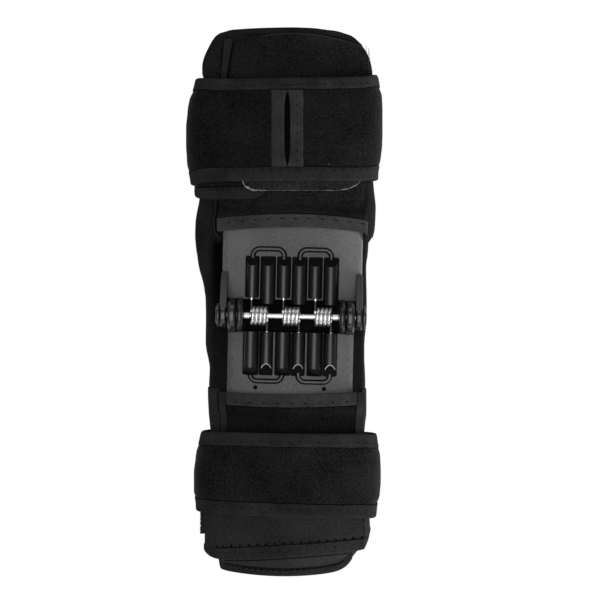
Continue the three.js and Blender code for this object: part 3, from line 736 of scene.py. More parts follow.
def cloth_material(name, group, tones, sheen, bump, lint=None, shaded=False, **scales):
    """Cloth between a dark and a light tone. bump is a depth in millimetres, and lint specks per metre."""
    material, tree, shader = start_material(name)
    weave = use_group(tree, group, **scales)
    colour = mix_colours(tree, weave.outputs["Tone"], *tones)
    if lint:
        specks = use_group(tree, LINT, Specks_per_metre=lint)
        colour = mix_colours(tree, specks.outputs["Mask"], colour, LINT_TONE)
    if shaded:
        colour = mix_colours(tree, use_group(tree, SHADE).outputs["Mask"], colour, SHADED_TONE)
    tree.links.new(colour, shader.inputs["Base Color"])
    shader.inputs["Roughness"].default_value = 0.95
    shader.inputs["Specular IOR Level"].default_value = 0.03
    shader.inputs["Sheen Weight"].default_value = sheen
    shader.inputs["Sheen Roughness"].default_value = 0.45
    add_bump(tree, shader, weave.outputs["Height"], 0.8, bump)
    return material


def plastic_material(name, tones, roughness, grain, specular=0.5, flank=0.0):
    """Grained plastic. Painted light can lighten its flanks away from the shell's middle by a share of its
    range.

    grain holds the grains per metre, their depth in millimetres and the strength of the bump.
    """
    grains, depth, strength = grain
    material, tree, shader = start_material(name)
    mould = use_group(tree, GRAIN, Grains_per_metre=grains)
    share = mould.outputs["Tone"]
    if flank:
        side = sideways_from(tree, separate_places(tree), SHELL_X)
        painted_light = ranged(tree, side, FLANK[0] * MM, FLANK[1] * MM, 0, flank)
        share = maths(tree, "ADD", maths(tree, "MULTIPLY", share, 0.5), painted_light)
    tree.links.new(mix_colours(tree, share, *tones), shader.inputs["Base Color"])
    vary_roughness(tree, shader, mould.outputs["Tone"], roughness - 0.06, roughness + 0.06)
    shader.inputs["Specular IOR Level"].default_value = specular
    add_bump(tree, shader, mould.outputs["Height"], strength, depth)
    return material


def steel_material(name, tone, roughness):
    material, tree, shader = start_material(name)
    grain = use_group(tree, GRAIN, Grains_per_metre=700.0)
    tree.links.new(mix_colours(tree, grain.outputs["Tone"], tone * 0.95, tone), shader.inputs["Base Color"])
    vary_roughness(tree, shader, grain.outputs["Tone"], roughness * 0.9, roughness * 1.1)
    shader.inputs["Metallic"].default_value = 1.0
    return material


# Cloths: weave, dark and light tone, sheen and depth of the bump
PILE_CLOTH = cloth_material("pile_cloth", PILE, (0.001, 0.0158), 0.05, 0.5, lint=60.0)
COVER_PILE = cloth_material("cover_pile_cloth", PILE, (0.0025, 0.0205), 0.02, 0.5, lint=60.0)
SHIN_PILE = cloth_material("shin_pile_cloth", PILE, (0.001, 0.0178), 0.05, 0.5, lint=60.0)
SHADY_PILE = cloth_material("shady_pile_cloth", PILE, (0.001, 0.0128), 0.01, 0.5)
FLAP_CLOTH = cloth_material("flap_cloth", PILE, (0.010, 0.029), 0.01, 0.3, lint=50.0, Tufts_per_metre=900.0)
LINER_CLOTH = cloth_material("liner_cloth", PILE, (0.004, 0.019), 0.02, 0.3, shaded=True)
TONGUE_CLOTH = cloth_material("tongue_cloth", PILE, (0.018, 0.045), 0.01, 0.2, Tufts_per_metre=900.0)
BINDING_TAPE = cloth_material("binding_tape", RIBS, (0.0095, 0.026), 0.01, 0.15)
HEM_TAPE = cloth_material("hem_tape", RIBS, (0.006, 0.018), 0.01, 0.15)
POCKET_TAPE = cloth_material("pocket_tape", RIBS, (0.015, 0.04), 0.01, 0.15, lint=60.0)
MOUTH_TAPE = cloth_material("mouth_tape", RIBS, (0.02, 0.053), 0.01, 0.15, lint=60.0)
# Painted highlight along the thigh cover's top edge
COVER_EDGE_HIGHLIGHT = cloth_material("cover_edge_painted_highlight", RIBS, (0.016, 0.036), 0.01, 0.1)
HOOK_TAPE = cloth_material("hook_tape", PILE, (0.003, 0.032), 0.02, 0.5, Tufts_per_metre=700.0)
HOOK_FRAY = cloth_material("hook_fray", PILE, (0.02, 0.5), 0.02, 0.5, Tufts_per_metre=650.0)
HOOK_DIM = cloth_material("hook_dim", PILE, (0.0, 0.26), 0.02, 0.5, Tufts_per_metre=330.0)
# Thread for stitches, which also serves as painted shade: dark ribbons in seams and gaps, under the strap and
# behind the slit
THREAD_AND_SHADE = cloth_material("thread_and_painted_shade", RIBS, (0.002, 0.005), 0.0, 0.05, Ribs_per_metre=2000.0)
# A softer thread for the bar tacks, which also serves as painted shade in a seam's valley and under the shin
# wrap
SOFT_THREAD_AND_SHADE = cloth_material("soft_thread_and_painted_shade", RIBS, (0.007, 0.013), 0.0, 0.05, Ribs_per_metre=2000.0)

# Grains per metre, their depth and the strength of the bump
COARSE_GRAIN = (650.0, 0.25, 0.6)
EAR_GRAIN = (900.0, 0.1, 0.3)
SATIN_GRAIN = (900.0, 0.03, 0.2)
FINE_GRAIN = (900.0, 0.02, 0.15)

# Plastics: dark and light tone, roughness and grain
SHELL_GRAIN = plastic_material("shell_grain", (0.052, 0.1), 0.55, COARSE_GRAIN, specular=0.3)
SHELL_FLANK_PAINTED_LIGHT = plastic_material("shell_flank_painted_light", (0.05, 0.144), 0.55, COARSE_GRAIN, specular=0.3, flank=0.31)
SHELL_POLISH = plastic_material("shell_polish", (0.004, 0.006), 0.34, FINE_GRAIN)
SHELL_MATTE_AND_SHADE = plastic_material("shell_matte_and_painted_shade", (0.0025, 0.005), 0.9, FINE_GRAIN, specular=0.1)
SHELL_HALF_SHADE = plastic_material("shell_painted_half_shade", (0.003, 0.005), 0.7, FINE_GRAIN, specular=0.14)
SHELL_RIM_HIGHLIGHT = plastic_material("shell_rim_painted_highlight", (0.22, 0.3), 0.4, FINE_GRAIN)
SHELL_EDGE_HIGHLIGHT = plastic_material("shell_edge_painted_highlight", (0.12, 0.18), 0.4, FINE_GRAIN)
KNUCKLE_SATIN = plastic_material("knuckle_satin", (0.005, 0.008), 0.3, SATIN_GRAIN, specular=0.7)
EAR_PLASTIC = plastic_material("ear_plastic", (0.034, 0.054), 0.5, EAR_GRAIN, specular=0.35)

# Steels: tone and roughness
SPRING_STEEL = steel_material("spring_steel", 0.98, 0.29)
SHADED_LEG_STEEL = steel_material("spring_leg_painted_shade_steel", 0.05, 0.4)
ROD_STEEL = steel_material("rod_steel", 0.6, 0.3)


def dress(piece, material, slot, *nodes):
    """Gives a piece its material and body, and puts it in place of the CAD nodes named. Its slot is not used."""
    if not piece.data.materials:
        piece.data.materials.append(material)
    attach(piece, "root")
    if nodes:
        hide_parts(*nodes)
    return piece


def dress_all(trims, material):
    """Dresses trim that stands for no CAD node of its own."""
    for trim in trims:
        dress(trim, material, "binding_tape")


def paint_faces(piece, material, chosen):
    """Puts one more material on the faces that chosen picks by their middle, in millimetres, and normal."""
    piece.data.materials.append(material)
    index = len(piece.data.materials) - 1
    for face in piece.data.polygons:
        if chosen(face.center / MM, face.normal):
            face.material_index = index


# Liner

LINER_TURNS = (-2.5, 2.5)
LINER_HEM_TURNS = (-2.2, 2.0)
LINER_HEM = 3.4
LINER_TIP = 199.5
TONGUE_TIP = -199.3
TONGUE_TOP = -170
TONGUE_MIDDLE = -0.1
TONGUE_LEFT = 1.002
TONGUE_RIGHT = 0.96
TONGUE_BOW = 4.6
TONGUE_CORNER = 7.6
TONGUE_SIDE_SLOPE = 58
TONGUE_TAPE = 4.0
SIDE_STRIP_TURNS = (1.04, 2.3)
SIDE_STRIP_FOOT = -150
SIDE_STRIP_LAYER = (0.05, 0.8)

# The liner's upper edge: the turn to one side, and the height
LINER_TOP_LEFT = [
    (2.5, 166),
    (2, 172.5),
    (1.88, 175.2),
    (1.676, 179.5),
    (1.52, 183.6),
    (1.369, 187.8),
    (1.266, 191.2),
    (1.096, 195.3),
    (0.96, 197),
    (0.79, 198.6),
    (0, LINER_TIP),
]
LINER_TOP_RIGHT = [
    (2.5, 164),
    (2, 171),
    (1.745, 175.2),
    (1.478, 179.5),
    (1.219, 183.6),
    (1, 188),
    (0.945, 190.6),
    (0.782, 195.2),
    (0.504, 197.9),
    (0.15, 199.3),
    (0, LINER_TIP),
]


def liner_top(turn):
    """The liner's upper edge, with a rounder fall at the right."""
    return column_at(LINER_TOP_LEFT if turn < 0 else LINER_TOP_RIGHT, 1, abs(turn))


def liner_low(turn):
    """The tongue's round end, with a squarer corner on the left, and the sides above it."""
    half, squareness = (TONGUE_LEFT, 20) if turn < TONGUE_MIDDLE else (TONGUE_RIGHT, 10)
    way = abs(turn - TONGUE_MIDDLE) / half
    inside = min(way, 1)
    end = TONGUE_TIP + TONGUE_BOW * inside ** 2 + TONGUE_CORNER * inside ** squareness
    return end + TONGUE_SIDE_SLOPE * max(way - 1, 0)


def liner_tape(name, turns, edge, up, reach, seed):
    """A tape folded over one end of the liner."""
    return binding(name, LINER, turns, edge, up, LINER_LAYER, 110, reach, seed=seed)


def side_strip(name, side, top):
    """A flat tape down the side of the liner, from beside the shin pocket to under the strap."""
    turns = sorted(side * turn for turn in SIDE_STRIP_TURNS)
    return panel(name, LINER, turns, (level(SIDE_STRIP_FOOT), level(top)), SIDE_STRIP_LAYER, 24, 40, rim=0.3)


def make_liner():
    edges = (liner_low, liner_top)
    liner = panel("liner_pad", LINER, LINER_TURNS, edges, LINER_LAYER, 160, 150, rim=0.9)
    liner.data.materials.append(LINER_CLOTH)
    paint_faces(liner, TONGUE_CLOTH, lambda middle, normal: middle.y < TONGUE_TOP and normal.z > 0.2)
    top = liner_tape("liner_top_binding", LINER_HEM_TURNS, liner_top, 1, LINER_HEM, 2)
    tongue_turns = (TONGUE_MIDDLE - TONGUE_LEFT, TONGUE_MIDDLE + TONGUE_RIGHT)
    low = liner_tape("liner_tongue_binding", tongue_turns, liner_low, -1, TONGUE_TAPE, 3)
    seam = crease("tongue_seam", LINER, (-0.95, 0.75), moved(liner_low, TONGUE_TAPE + 0.5), 0, 90, 1.7)
    spots = row_across(LINER, evenly(-30, 14, 4.6), moved(liner_low, TONGUE_TAPE - 0.4), TRIM_FACE)
    row = stitches("tongue_stitches", spots, 1.9, 1.1)
    strips = [side_strip("liner_side_strip_left", -1, -63), side_strip("liner_side_strip_right", 1, -64)]
    dress(liner, LINER_CLOTH, "liner_cloth", "liner")
    dress(top, HEM_TAPE, "binding_tape", "liner_binding_top")
    dress(low, FLAP_CLOTH, "binding_tape", "liner_binding_bottom")
    dress(seam, SOFT_THREAD_AND_SHADE, "binding_tape")
    dress(row, THREAD_AND_SHADE, "binding_tape")
    dress_all(strips, BINDING_TAPE)


# Covers

# Mouths of the pockets: height on the middle line, its change at the shoulders, and the tape's width
THIGH_MOUTH = (54.4, -4.0, 9.4)
SHIN_MOUTH = (-67.2, 1.8, 9.2)
MOUTH_LAYER = (COVER_LAYER[1] + TRIM_GAP, COVER_LAYER[1] + TRIM_GAP + 0.8)
POCKET_DEPTHS = (11, 18)
EDGE_TAPE = 5 / ARCH_HALF
EDGE_GAP = 3.0 / ARCH_HALF
THIGH_LEFT = -1 + EDGE_TAPE + EDGE_GAP
THIGH_RIGHT = 1.9
THIGH_TAPE_TURNS = (THIGH_LEFT, 1.19)
THIGH_TOP = 196.1
THIGH_TOP_FALL = 9
SIDE_TAPE_TUCK = (44, 54)
SIDE_TAPE_SHADE = 0.024
SHIN_COVER_FOOT = -145
SHIN_GAP_ENDS = (-140, -66)
SHIN_GAP_HALF = 0.016

# The upright tape: height with the turn of its left edge, and height with its width as a turn
SIDE_TAPE_LEFT = [
    (192, -0.948),
    (164, -0.993),
    (117, -1.06),
    (75, -1.122),
    (61, -1.112),
    (53, -1.104),
    (47, -1.03),
    (44, -0.985),
]
SIDE_TAPE_WIDTHS = [(192, 0.126), (164, 0.084), (74, 0.042), (56, 0.03), (44, 0.026)]


def beyond_mouth(mouth, distance=0.0):
    """The line at a distance above a pocket's mouth."""
    return lambda turn: mouth[0] + mouth[1] * turn ** 2 + distance


def shin_lift(y, turn):
    """How far the shin cover stands off the liner over the tucked-in end of the lower shell."""
    depth = beyond_mouth(SHIN_MOUTH)(turn) - y
    return POCKET_LIFT * (1 - smoothstep(*POCKET_DEPTHS, depth))


def thigh_lift(y, turn):
    """The same for the thigh cover, where it runs out lower down and further up along the right edge."""
    side = smoothstep(1.04, 1.2, turn)
    depth = y - beyond_mouth(THIGH_MOUTH)(min(turn, 1.1))
    above = 1 - smoothstep(POCKET_DEPTHS[0] + 3 * side, POCKET_DEPTHS[1] + 18 * side, depth)
    return POCKET_LIFT * above * (1 - 0.55 * side) * (1 - side * (1 - smoothstep(42, 54, y)))


def side_tape_edges(y):
    """The turns of the upright tape's two edges: it leans, narrows and at last turns in round the pocket."""
    left = column_at(SIDE_TAPE_LEFT, 1, y)
    return left, left + column_at(SIDE_TAPE_WIDTHS, 1, y)


def right_gap_shade_edges(y):
    """Painted shade: a dark ribbon in the gap between the upright tape and the cover."""
    right = side_tape_edges(y)[1]
    return right, right + EDGE_GAP * (0.62 - 0.12 * smoothstep(70, 100, y))


def left_gap_shade_edges(y):
    """The narrow painted shade on the upright tape's left."""
    left = side_tape_edges(y)[0]
    return left - SIDE_TAPE_SHADE, left


def along_side_tape(name, columns, ends, edges, out, size):
    """A sheet up the left side of the thigh cover, between two turns that depend on the height."""
    low, high = ends

    def place(u, v):
        y = low + (high - low) * v
        first, last = edges(y)
        turn = first + (last - first) * u
        return loop_point(LINER, turn, y, out + 0.7 * thigh_lift(y, turn) * smoothstep(*SIDE_TAPE_TUCK, y))

    return sheet_grid(name, columns, 100, place, size)


def thigh_lean(y, turn):
    """How far the cover's left part is moved, so that its edge follows the upright tape."""
    shift = side_tape_edges(y)[1] + EDGE_GAP - THIGH_LEFT
    return shift * min(max(turn / THIGH_LEFT, 0), 1.2)


def thigh_cover_top(turn):
    return THIGH_TOP - THIGH_TOP_FALL * turn ** 2


def thigh_cover_low(turn):
    """The pocket's mouth, and a round corner that hangs beside the shell at the right."""
    beside = 4.5 * smoothstep(1.03, 1.15, turn)
    return beyond_mouth(THIGH_MOUTH)(turn) - beside + 12 * smoothstep(1.25, 1.9, turn)


def upright_line(name, turn, ends, raised, width):
    """A narrow ribbon up the right side of the thigh cover: a lighter piping, or a dark ribbon of painted shade.
    """
    low, high = ends

    def place(u, v):
        y = low + (high - low) * v
        out = COVER_LAYER[1] + raised + thigh_lift(y, turn)
        return loop_point(LINER, turn + width / ARCH_HALF * (u - 0.5), y, out)

    line = sheet_grid(name, 2, 90, place, (width, high - low))
    thicken(line, 0.12, -1, 0.03)
    return line


def make_thigh_cover():
    width = THIGH_MOUTH[2]
    edges = (thigh_cover_low, thigh_cover_top)
    hung = (thigh_lift, thigh_lean)
    turns = (THIGH_LEFT, THIGH_RIGHT)
    cover = panel("thigh_cover_cloth", LINER, turns, edges, COVER_LAYER, 110, 110, *hung, rim=0.9)
    cover.data.materials.append(COVER_PILE)
    # Painted highlight on the cover's top rim
    paint_faces(cover, COVER_EDGE_HIGHLIGHT, lambda middle, normal: normal.y > 0.35 and middle.y > 150)
    # Painted shade: the cover seen through the slit is dark
    paint_faces(cover, THREAD_AND_SHADE, lambda middle, normal: abs(middle.x - SLIT_X) < 5 and 97 < middle.y < 155)
    strip = along_side_tape("thigh_side_tape", 6, (46, 192.4), side_tape_edges, 1.7, (4, 146))
    thicken(strip, 1.2, -1, 0.4)
    # Painted shade in the gaps beside the upright tape
    gap_shades = [
        along_side_tape("thigh_side_gap_shade_right", 2, (47, 190), right_gap_shade_edges, 1.5, (2, 143)),
        along_side_tape("thigh_side_gap_shade_left", 2, (50, 190), left_gap_shade_edges, 1.2, (0.8, 140)),
    ]
    for gap in gap_shades:
        thicken(gap, 0.2, -1, 0.05)
    tape_edges = (beyond_mouth(THIGH_MOUTH, -0.2), beyond_mouth(THIGH_MOUTH, width))
    tape = panel("thigh_mouth_tape", LINER, THIGH_TAPE_TURNS, tape_edges, MOUTH_LAYER, 90, 8, *hung, rim=0.3)
    stitch_line = beyond_mouth(THIGH_MOUTH, 6.2)
    spots = row_across(LINER, evenly(-39, 55, 9.5), stitch_line, MOUTH_LAYER[1], thigh_lift)
    row = stitches("thigh_mouth_stitches", spots, 3.0, 0.8)
    seam_line = beyond_mouth(THIGH_MOUTH, width + 0.3)
    face = COVER_LAYER[1]
    seam = crease("thigh_mouth_seam", LINER, THIGH_TAPE_TURNS, seam_line, face, 90, 0.7, thigh_lift)
    edge = crease("thigh_cover_edge_highlight", LINER, (-0.35, 1.2), moved(thigh_cover_top, -0.8), face, 90, 0.6)
    side_seam = upright_line("thigh_side_seam", 1.2, (46, 188), 0.12, 0.8)
    piping = upright_line("thigh_side_piping", 1.33, (45, 186), 0.25, 1.0)
    shade = upright_line("thigh_side_shade", 1.41, (45, 184), 0.12, 0.8)
    dress(cover, COVER_PILE, "pile_cloth", "thigh_cover")
    dress(strip, BINDING_TAPE, "binding_tape", "thigh_edge_tape")
    dress(tape, MOUTH_TAPE, "binding_tape", "thigh_pocket_tape")
    dress(piping, POCKET_TAPE, "binding_tape")
    dress(edge, COVER_EDGE_HIGHLIGHT, "pile_cloth")
    dress_all((*gap_shades, row, seam, side_seam, shade), THREAD_AND_SHADE)


def shin_side_gap(name, turn):
    """The shade between the two tapes at a side of the shin."""
    turns = (turn - SHIN_GAP_HALF, turn + SHIN_GAP_HALF)
    edges = [level(end) for end in SHIN_GAP_ENDS]
    return panel(name, LINER, turns, edges, (1.2, 1.4), 2, 40, shin_lift, rim=0.03)


def shin_side_tape(name, turns, edges):
    return panel(name, LINER, turns, edges, (0.1, 2.0), 6, 50, shin_lift, rim=0.5)


def make_shin_cover():
    width = SHIN_MOUTH[2]
    edges = (level(SHIN_COVER_FOOT), beyond_mouth(SHIN_MOUTH))
    inset = EDGE_TAPE + 0.6 / ARCH_HALF
    turns = (-1 + inset, 1 - inset)
    cover = panel("shin_cover_cloth", LINER, turns, edges, COVER_LAYER, 56, 50, shin_lift, rim=0.6)
    left = shin_side_tape("shin_side_tape_left", (-1, -1 + EDGE_TAPE), edges)
    right = shin_side_tape("shin_side_tape_right", (1 - EDGE_TAPE, 1), edges)
    tape_edges = (beyond_mouth(SHIN_MOUTH, -width), beyond_mouth(SHIN_MOUTH, 0.2))
    tape = panel("shin_mouth_tape", LINER, turns, tape_edges, MOUTH_LAYER, 56, 8, shin_lift, rim=0.3)
    stitch_line = beyond_mouth(SHIN_MOUTH, -6.4)
    spots = row_across(LINER, evenly(-34, 44, 9.6), stitch_line, MOUTH_LAYER[1], shin_lift)
    row = stitches("shin_mouth_stitches", spots, 2.6, 0.8)
    seam_line = beyond_mouth(SHIN_MOUTH, -width - 0.4)
    seam = crease("shin_mouth_seam", LINER, turns, seam_line, COVER_LAYER[1], 56, lift=shin_lift)
    gap_shades = [shin_side_gap("shin_side_gap_left", -1.02), shin_side_gap("shin_side_gap_right", 1.02)]
    dress(cover, SHADY_PILE, "pile_cloth", "shin_cover")
    dress(left, BINDING_TAPE, "binding_tape", "shin_edge_tape_left")
    dress(right, BINDING_TAPE, "binding_tape", "shin_edge_tape_right")
    dress(tape, POCKET_TAPE, "binding_tape", "shin_pocket_tape")
    dress_all((row, seam, *gap_shades), THREAD_AND_SHADE)


# Thigh wrap and strap

# All the way round the leg, and the columns of a sheet that goes there
WHOLE_TURN = (-4, 4)
ROUND_COLUMNS = 220

WING_TURN = -3.6
WING_FRONT_X = -10.6
WING_FOOT = 75
WING_TOP = 148
WING_TAPE_TOP = 83.6
HOOK_LEFT = -30.0
HOOK_RIGHT = 54.0
HOOK_FOOT = 80.9
HOOK_TOP = 118

# Above a height the hook patch lies under the strap and is painted dark there as shade, and its edge is dim
# between two places along X
HOOK_HIDDEN = 96
HOOK_DIM_SPAN = (-12, 42)

SLIT_X = 2.0
SLIT_HALF = 2.0
SLIT_LOW = 98.5
SLIT_HIGH = 152.8
SLIT_TAPE_REACH = 11.4
SLIT_STITCH_X = 9.2
THIGH_UPPER_REACH = 7.7
THIGH_STRAP_FOOT = 87.2
THIGH_STRAP_TOP = 163
BAR_TACK_HEIGHTS = (156.9, 154.4, 96.4, 94.2)
SEAM_TURNS = (-2.6, 2.6)
SEAM_CLEARANCE = 0.3


def rounded_corner(distance, radius):
    """How far an edge is set back at a distance from its end, so that its corner is round."""
    inset = radius - min(max(distance, 0), radius)
    return radius - math.sqrt(max(radius ** 2 - inset ** 2, 0))


def front_x(turn):
    return SHELL_X + ARCH_RADIUS * math.sin(turn * ARCH_LEAN)


def wing_low(turn):
    """The wing's lower edge: a round corner in front, and a rise towards its side."""
    side = 4.0 * min(max(-turn - 1.2, 0) / 0.8, 1) ** 2
    corner = 0 if turn < -1 else rounded_corner(WING_FRONT_X - front_x(turn), 14)
    return WING_FOOT + corner + side


def make_thigh_wing():
    turns = (WING_TURN, turn_at(WING_FRONT_X))
    edges = (wing_low, level(WING_TOP))
    wing = panel("thigh_wing_cloth", WING, turns, edges, WING_LAYER, 180, 60, rim=0.6)
    wing.data.materials.append(PILE_CLOTH)
    paint_faces(wing, BINDING_TAPE, lambda middle, normal: middle.y < WING_TAPE_TOP)
    spots = row_across(WING, evenly(-57, -31, 4.6), level(WING_TAPE_TOP - 1.4), WING_LAYER[1])
    row = stitches("wing_stitches", spots, 2.2, 0.8)
    seam = crease("wing_seam", WING, (-1.6, turn_at(-18)), level(WING_TAPE_TOP + 0.4), WING_LAYER[1], 60)
    dress(wing, PILE_CLOTH, "pile_cloth", "thigh_wing")
    dress_all((row, seam), THREAD_AND_SHADE)


def hook_low(turn):
    """The hook patch's lower edge, with a tight corner at the left and a wide one at the right."""
    x = front_x(turn)
    return HOOK_FOOT + rounded_corner(x - HOOK_LEFT, 9) + 0.45 * rounded_corner(HOOK_RIGHT - x, 20)


def make_hook_tab():
    width = HOOK_RIGHT - HOOK_LEFT
    first, last = turn_at(HOOK_LEFT), turn_at(HOOK_RIGHT)
    edges = (hook_low, level(HOOK_TOP))
    tab = panel("thigh_hook_patch", LINER, (first, last), edges, HOOK_LAYER, 110, 20, rim=0.3)

    def ragged_edge(u, v):
        turn = first + (last - first) * u
        ragged = 0.6 * uneven(5, u * width, 0.9) + 0.4 * uneven(6, u * width, 3)
        full = 1.5 - 1.3 * smoothstep(0.05, 0.22, u) + 0.3 * smoothstep(0.62, 0.85, u)
        y = hook_low(turn) - 0.1 + 0.5 * ragged + full * (0.9 + 0.7 * ragged) * v
        return loop_point(LINER, turn, y, HOOK_LAYER[1] + 0.1)

    tab.data.materials.append(HOOK_TAPE)
    # Painted shade where the strap covers the patch
    paint_faces(tab, THREAD_AND_SHADE, lambda middle, normal: middle.y > HOOK_HIDDEN)
    fray = sheet_grid("hook_patch_edge", 260, 3, ragged_edge, (width, 1.0))
    thicken(fray, 0.25, -1, 0.04)
    fray.data.materials.append(HOOK_FRAY)
    paint_faces(fray, HOOK_DIM, lambda middle, normal: HOOK_DIM_SPAN[0] < middle.x < HOOK_DIM_SPAN[1])
    dress(tab, HOOK_TAPE, "hook_tape", "thigh_hook_tab")
    dress(fray, HOOK_FRAY, "hook_tape")


def slit_half(y):
    """Half the slit's opening at a height: nearly even, and pointed at both ends."""
    way = (y - SLIT_LOW) / (SLIT_HIGH - SLIT_LOW)
    return SLIT_HALF * (1 - abs(2 * way - 1) ** 5) if 0 < way < 1 else 0.0


def thigh_strap_low(turn):
    slant = 2.4 * smoothstep(0.7, 1.8, turn) - 1.2 * smoothstep(0.9, 1.8, -turn)
    return THIGH_STRAP_FOOT + slant * in_front(turn) + TAPE + GAP


def thigh_strap_high(turn):
    return THIGH_STRAP_TOP + 1.2 * across(turn) + 3.2 * smoothstep(0.5, 1.8, abs(turn)) - TAPE - GAP


def swell(y, low, high):
    """How far a strap's pile stands up between its two tapes."""
    inside = min(y - low, high - y) - BINDING_REACH
    return 0.5 * smoothstep(-1, 5, inside)


def thigh_swell(y, turn):
    return swell(y, thigh_strap_low(turn), thigh_strap_high(turn))


def make_thigh_strap_band():
    """The strap's cloth: two columns of its grid meet at the slit, and stand apart along it."""
    columns = 211
    middle = 105
    at_slit = turn_at(SLIT_X, THIGH_STRAP[0])
    radius = ARCH_RADIUS + THIGH_STRAP[0]

    def place(u, v):
        column = round(u * columns)
        if column <= middle:
            turn = -4 + (at_slit + 4) * column / middle
            side = -1
        else:
            turn = at_slit + (4 - at_slit) * (column - middle - 1) / (columns - middle - 1)
            side = 1
        y = thigh_strap_low(turn) + (thigh_strap_high(turn) - thigh_strap_low(turn)) * v
        near = max(1 - abs(turn - at_slit) / 0.25, 0)
        out = thigh_swell(y, turn)
        turn += side * near * slit_half(y) / radius / ARCH_LEAN
        return loop_point(THIGH_STRAP, turn, y, out)

    def between_columns(face):
        places = [index % (columns + 1) for index in face.vertices]
        return min(places) == middle and max(places) == middle + 1

    band = sheet_grid("thigh_strap_cloth", columns, 60, place, (410, 73))
    edit_chosen(band, "FACE", between_columns)
    bpy.ops.mesh.delete(type="FACE")
    leave_edit()
    close_loop(band)
    thicken(band, STRAP_LAYER[1] - STRAP_LAYER[0], -1, 0.4)
    return band


def slit_tape(name, side, seed):
    """A tape along one side of the slit, with a worn outer edge."""
    def place(u, v):
        y = SLIT_LOW - 0.6 + (SLIT_HIGH - SLIT_LOW + 1.2) * v
        inner = slit_half(y) + 0.2
        outer = SLIT_TAPE_REACH + 0.5 * uneven(seed, y, 5)
        share = u if side > 0 else 1 - u
        x = SLIT_X + side * (inner + (outer - inner) * share)
        turn = turn_at(x, THIGH_STRAP[0])
        return loop_point(THIGH_STRAP, turn, y, thigh_swell(y, turn) + TRIM_FACE)

    tape = sheet_grid(name, 10, 60, place, (10, 54))
    thicken(tape, TRIM, -1, 0.2)
    return tape


def round_tape(name, loop, edge, up, seed, reach=BINDING_REACH, layer=STRAP_LAYER):
    """A tape folded over one edge of a strap or wrap, all the way round."""
    return binding(name, loop, WHOLE_TURN, edge, up, layer, ROUND_COLUMNS, reach, closed=True, seed=seed)


def strap_stitches(name, loop, xs, upper, lower):
    """The two rows of stitches along a strap's tapes."""
    spots = row_across(loop, xs, upper, TRIM_FACE) + row_across(loop, xs, lower, TRIM_FACE)
    return stitches(name, spots, 1.9, 0.7)


def strap_seams(name, loop, low, high, seeds, reach=BINDING_REACH):
    """The pressed lines where a strap's two tapes end on its pile."""
    def above(turn):
        return high(turn) - tape_reach(seeds[0], turn, reach) - SEAM_CLEARANCE

    def below(turn):
        return low(turn) + tape_reach(seeds[1], turn, BINDING_REACH) + SEAM_CLEARANCE

    lines = (("upper", above), ("lower", below))
    return [crease(f"{name}_seam_{place}", loop, SEAM_TURNS, line, 0, 150, 0.6) for place, line in lines]


def make_thigh_strap():
    strap = make_thigh_strap_band()
    seeds = (11, 12)
    upper = round_tape(
        "thigh_strap_tape_upper", THIGH_STRAP, thigh_strap_high, 1, seeds[0], THIGH_UPPER_REACH
    )
    lower = round_tape("thigh_strap_tape_lower", THIGH_STRAP, thigh_strap_low, -1, seeds[1])
    left = slit_tape("slit_tape_cloth_left", -1, 13)
    right = slit_tape("slit_tape_cloth_right", 1, 14)
    rows = strap_stitches(
        "thigh_strap_stitches",
        THIGH_STRAP,
        evenly(-55, 62, 6.6),
        moved(thigh_strap_high, -4.6),
        moved(thigh_strap_low, 7.0),
    )
    tacks = []
    for height in BAR_TACK_HEIGHTS:
        tacks += row_across(THIGH_STRAP, evenly(-11.5, 14, 2.1), level(height), TRIM_FACE)
    bars = stitches("slit_bar_tacks", tacks, 1.5, 0.6)
    holes = []
    turn = turn_at(SLIT_STITCH_X, THIGH_STRAP[0])
    for y in evenly(102, 149, 6.7):
        point, ahead, up, outward = cloth_frame(THIGH_STRAP, turn, y, thigh_swell(y, turn) + TRIM_FACE)
        holes.append((point, up, outward))
    dots = stitches("slit_tape_stitches", holes, 1.5, 1.0)
    edges = (thigh_strap_low, thigh_strap_high)
    seams = strap_seams("thigh_strap", THIGH_STRAP, *edges, seeds, THIGH_UPPER_REACH)
    dress(strap, PILE_CLOTH, "pile_cloth", "thigh_strap")
    dress(upper, BINDING_TAPE, "binding_tape", "thigh_strap_binding_upper")
    dress(lower, BINDING_TAPE, "binding_tape", "thigh_strap_binding_lower")
    dress(left, POCKET_TAPE, "binding_tape", "slit_tape_left")
    dress(right, POCKET_TAPE, "binding_tape", "slit_tape_right")
    dress(bars, SOFT_THREAD_AND_SHADE, "binding_tape")
    dress_all((rows, dots, *seams), THREAD_AND_SHADE)


# Shin wrap and strap

SHIN_WRAP_FOOT = -184.8
SHIN_WRAP_TOP = -109
SHIN_SEAM = -176.3
SHIN_STRAP_FOOT = -156.6
SHIN_STRAP_TOP = -94.6
FRAY_TURN = -1.93


def shin_wrap_low(turn):
    rise = 11 if turn < 0 else 11 + 3 * in_front(turn)
    return SHIN_WRAP_FOOT + 4.8 * across(turn) + rise * smoothstep(0.6, 2.6, abs(turn))


def shin_seam_height(turn):
    """The straight seam above the wrap's lower tape."""
    return SHIN_SEAM + 3.4 * min(max(turn, -1.3), 1.3)


def shin_tape_reach(turn):
    return max(shin_seam_height(turn) - shin_wrap_low(turn), 1.5)


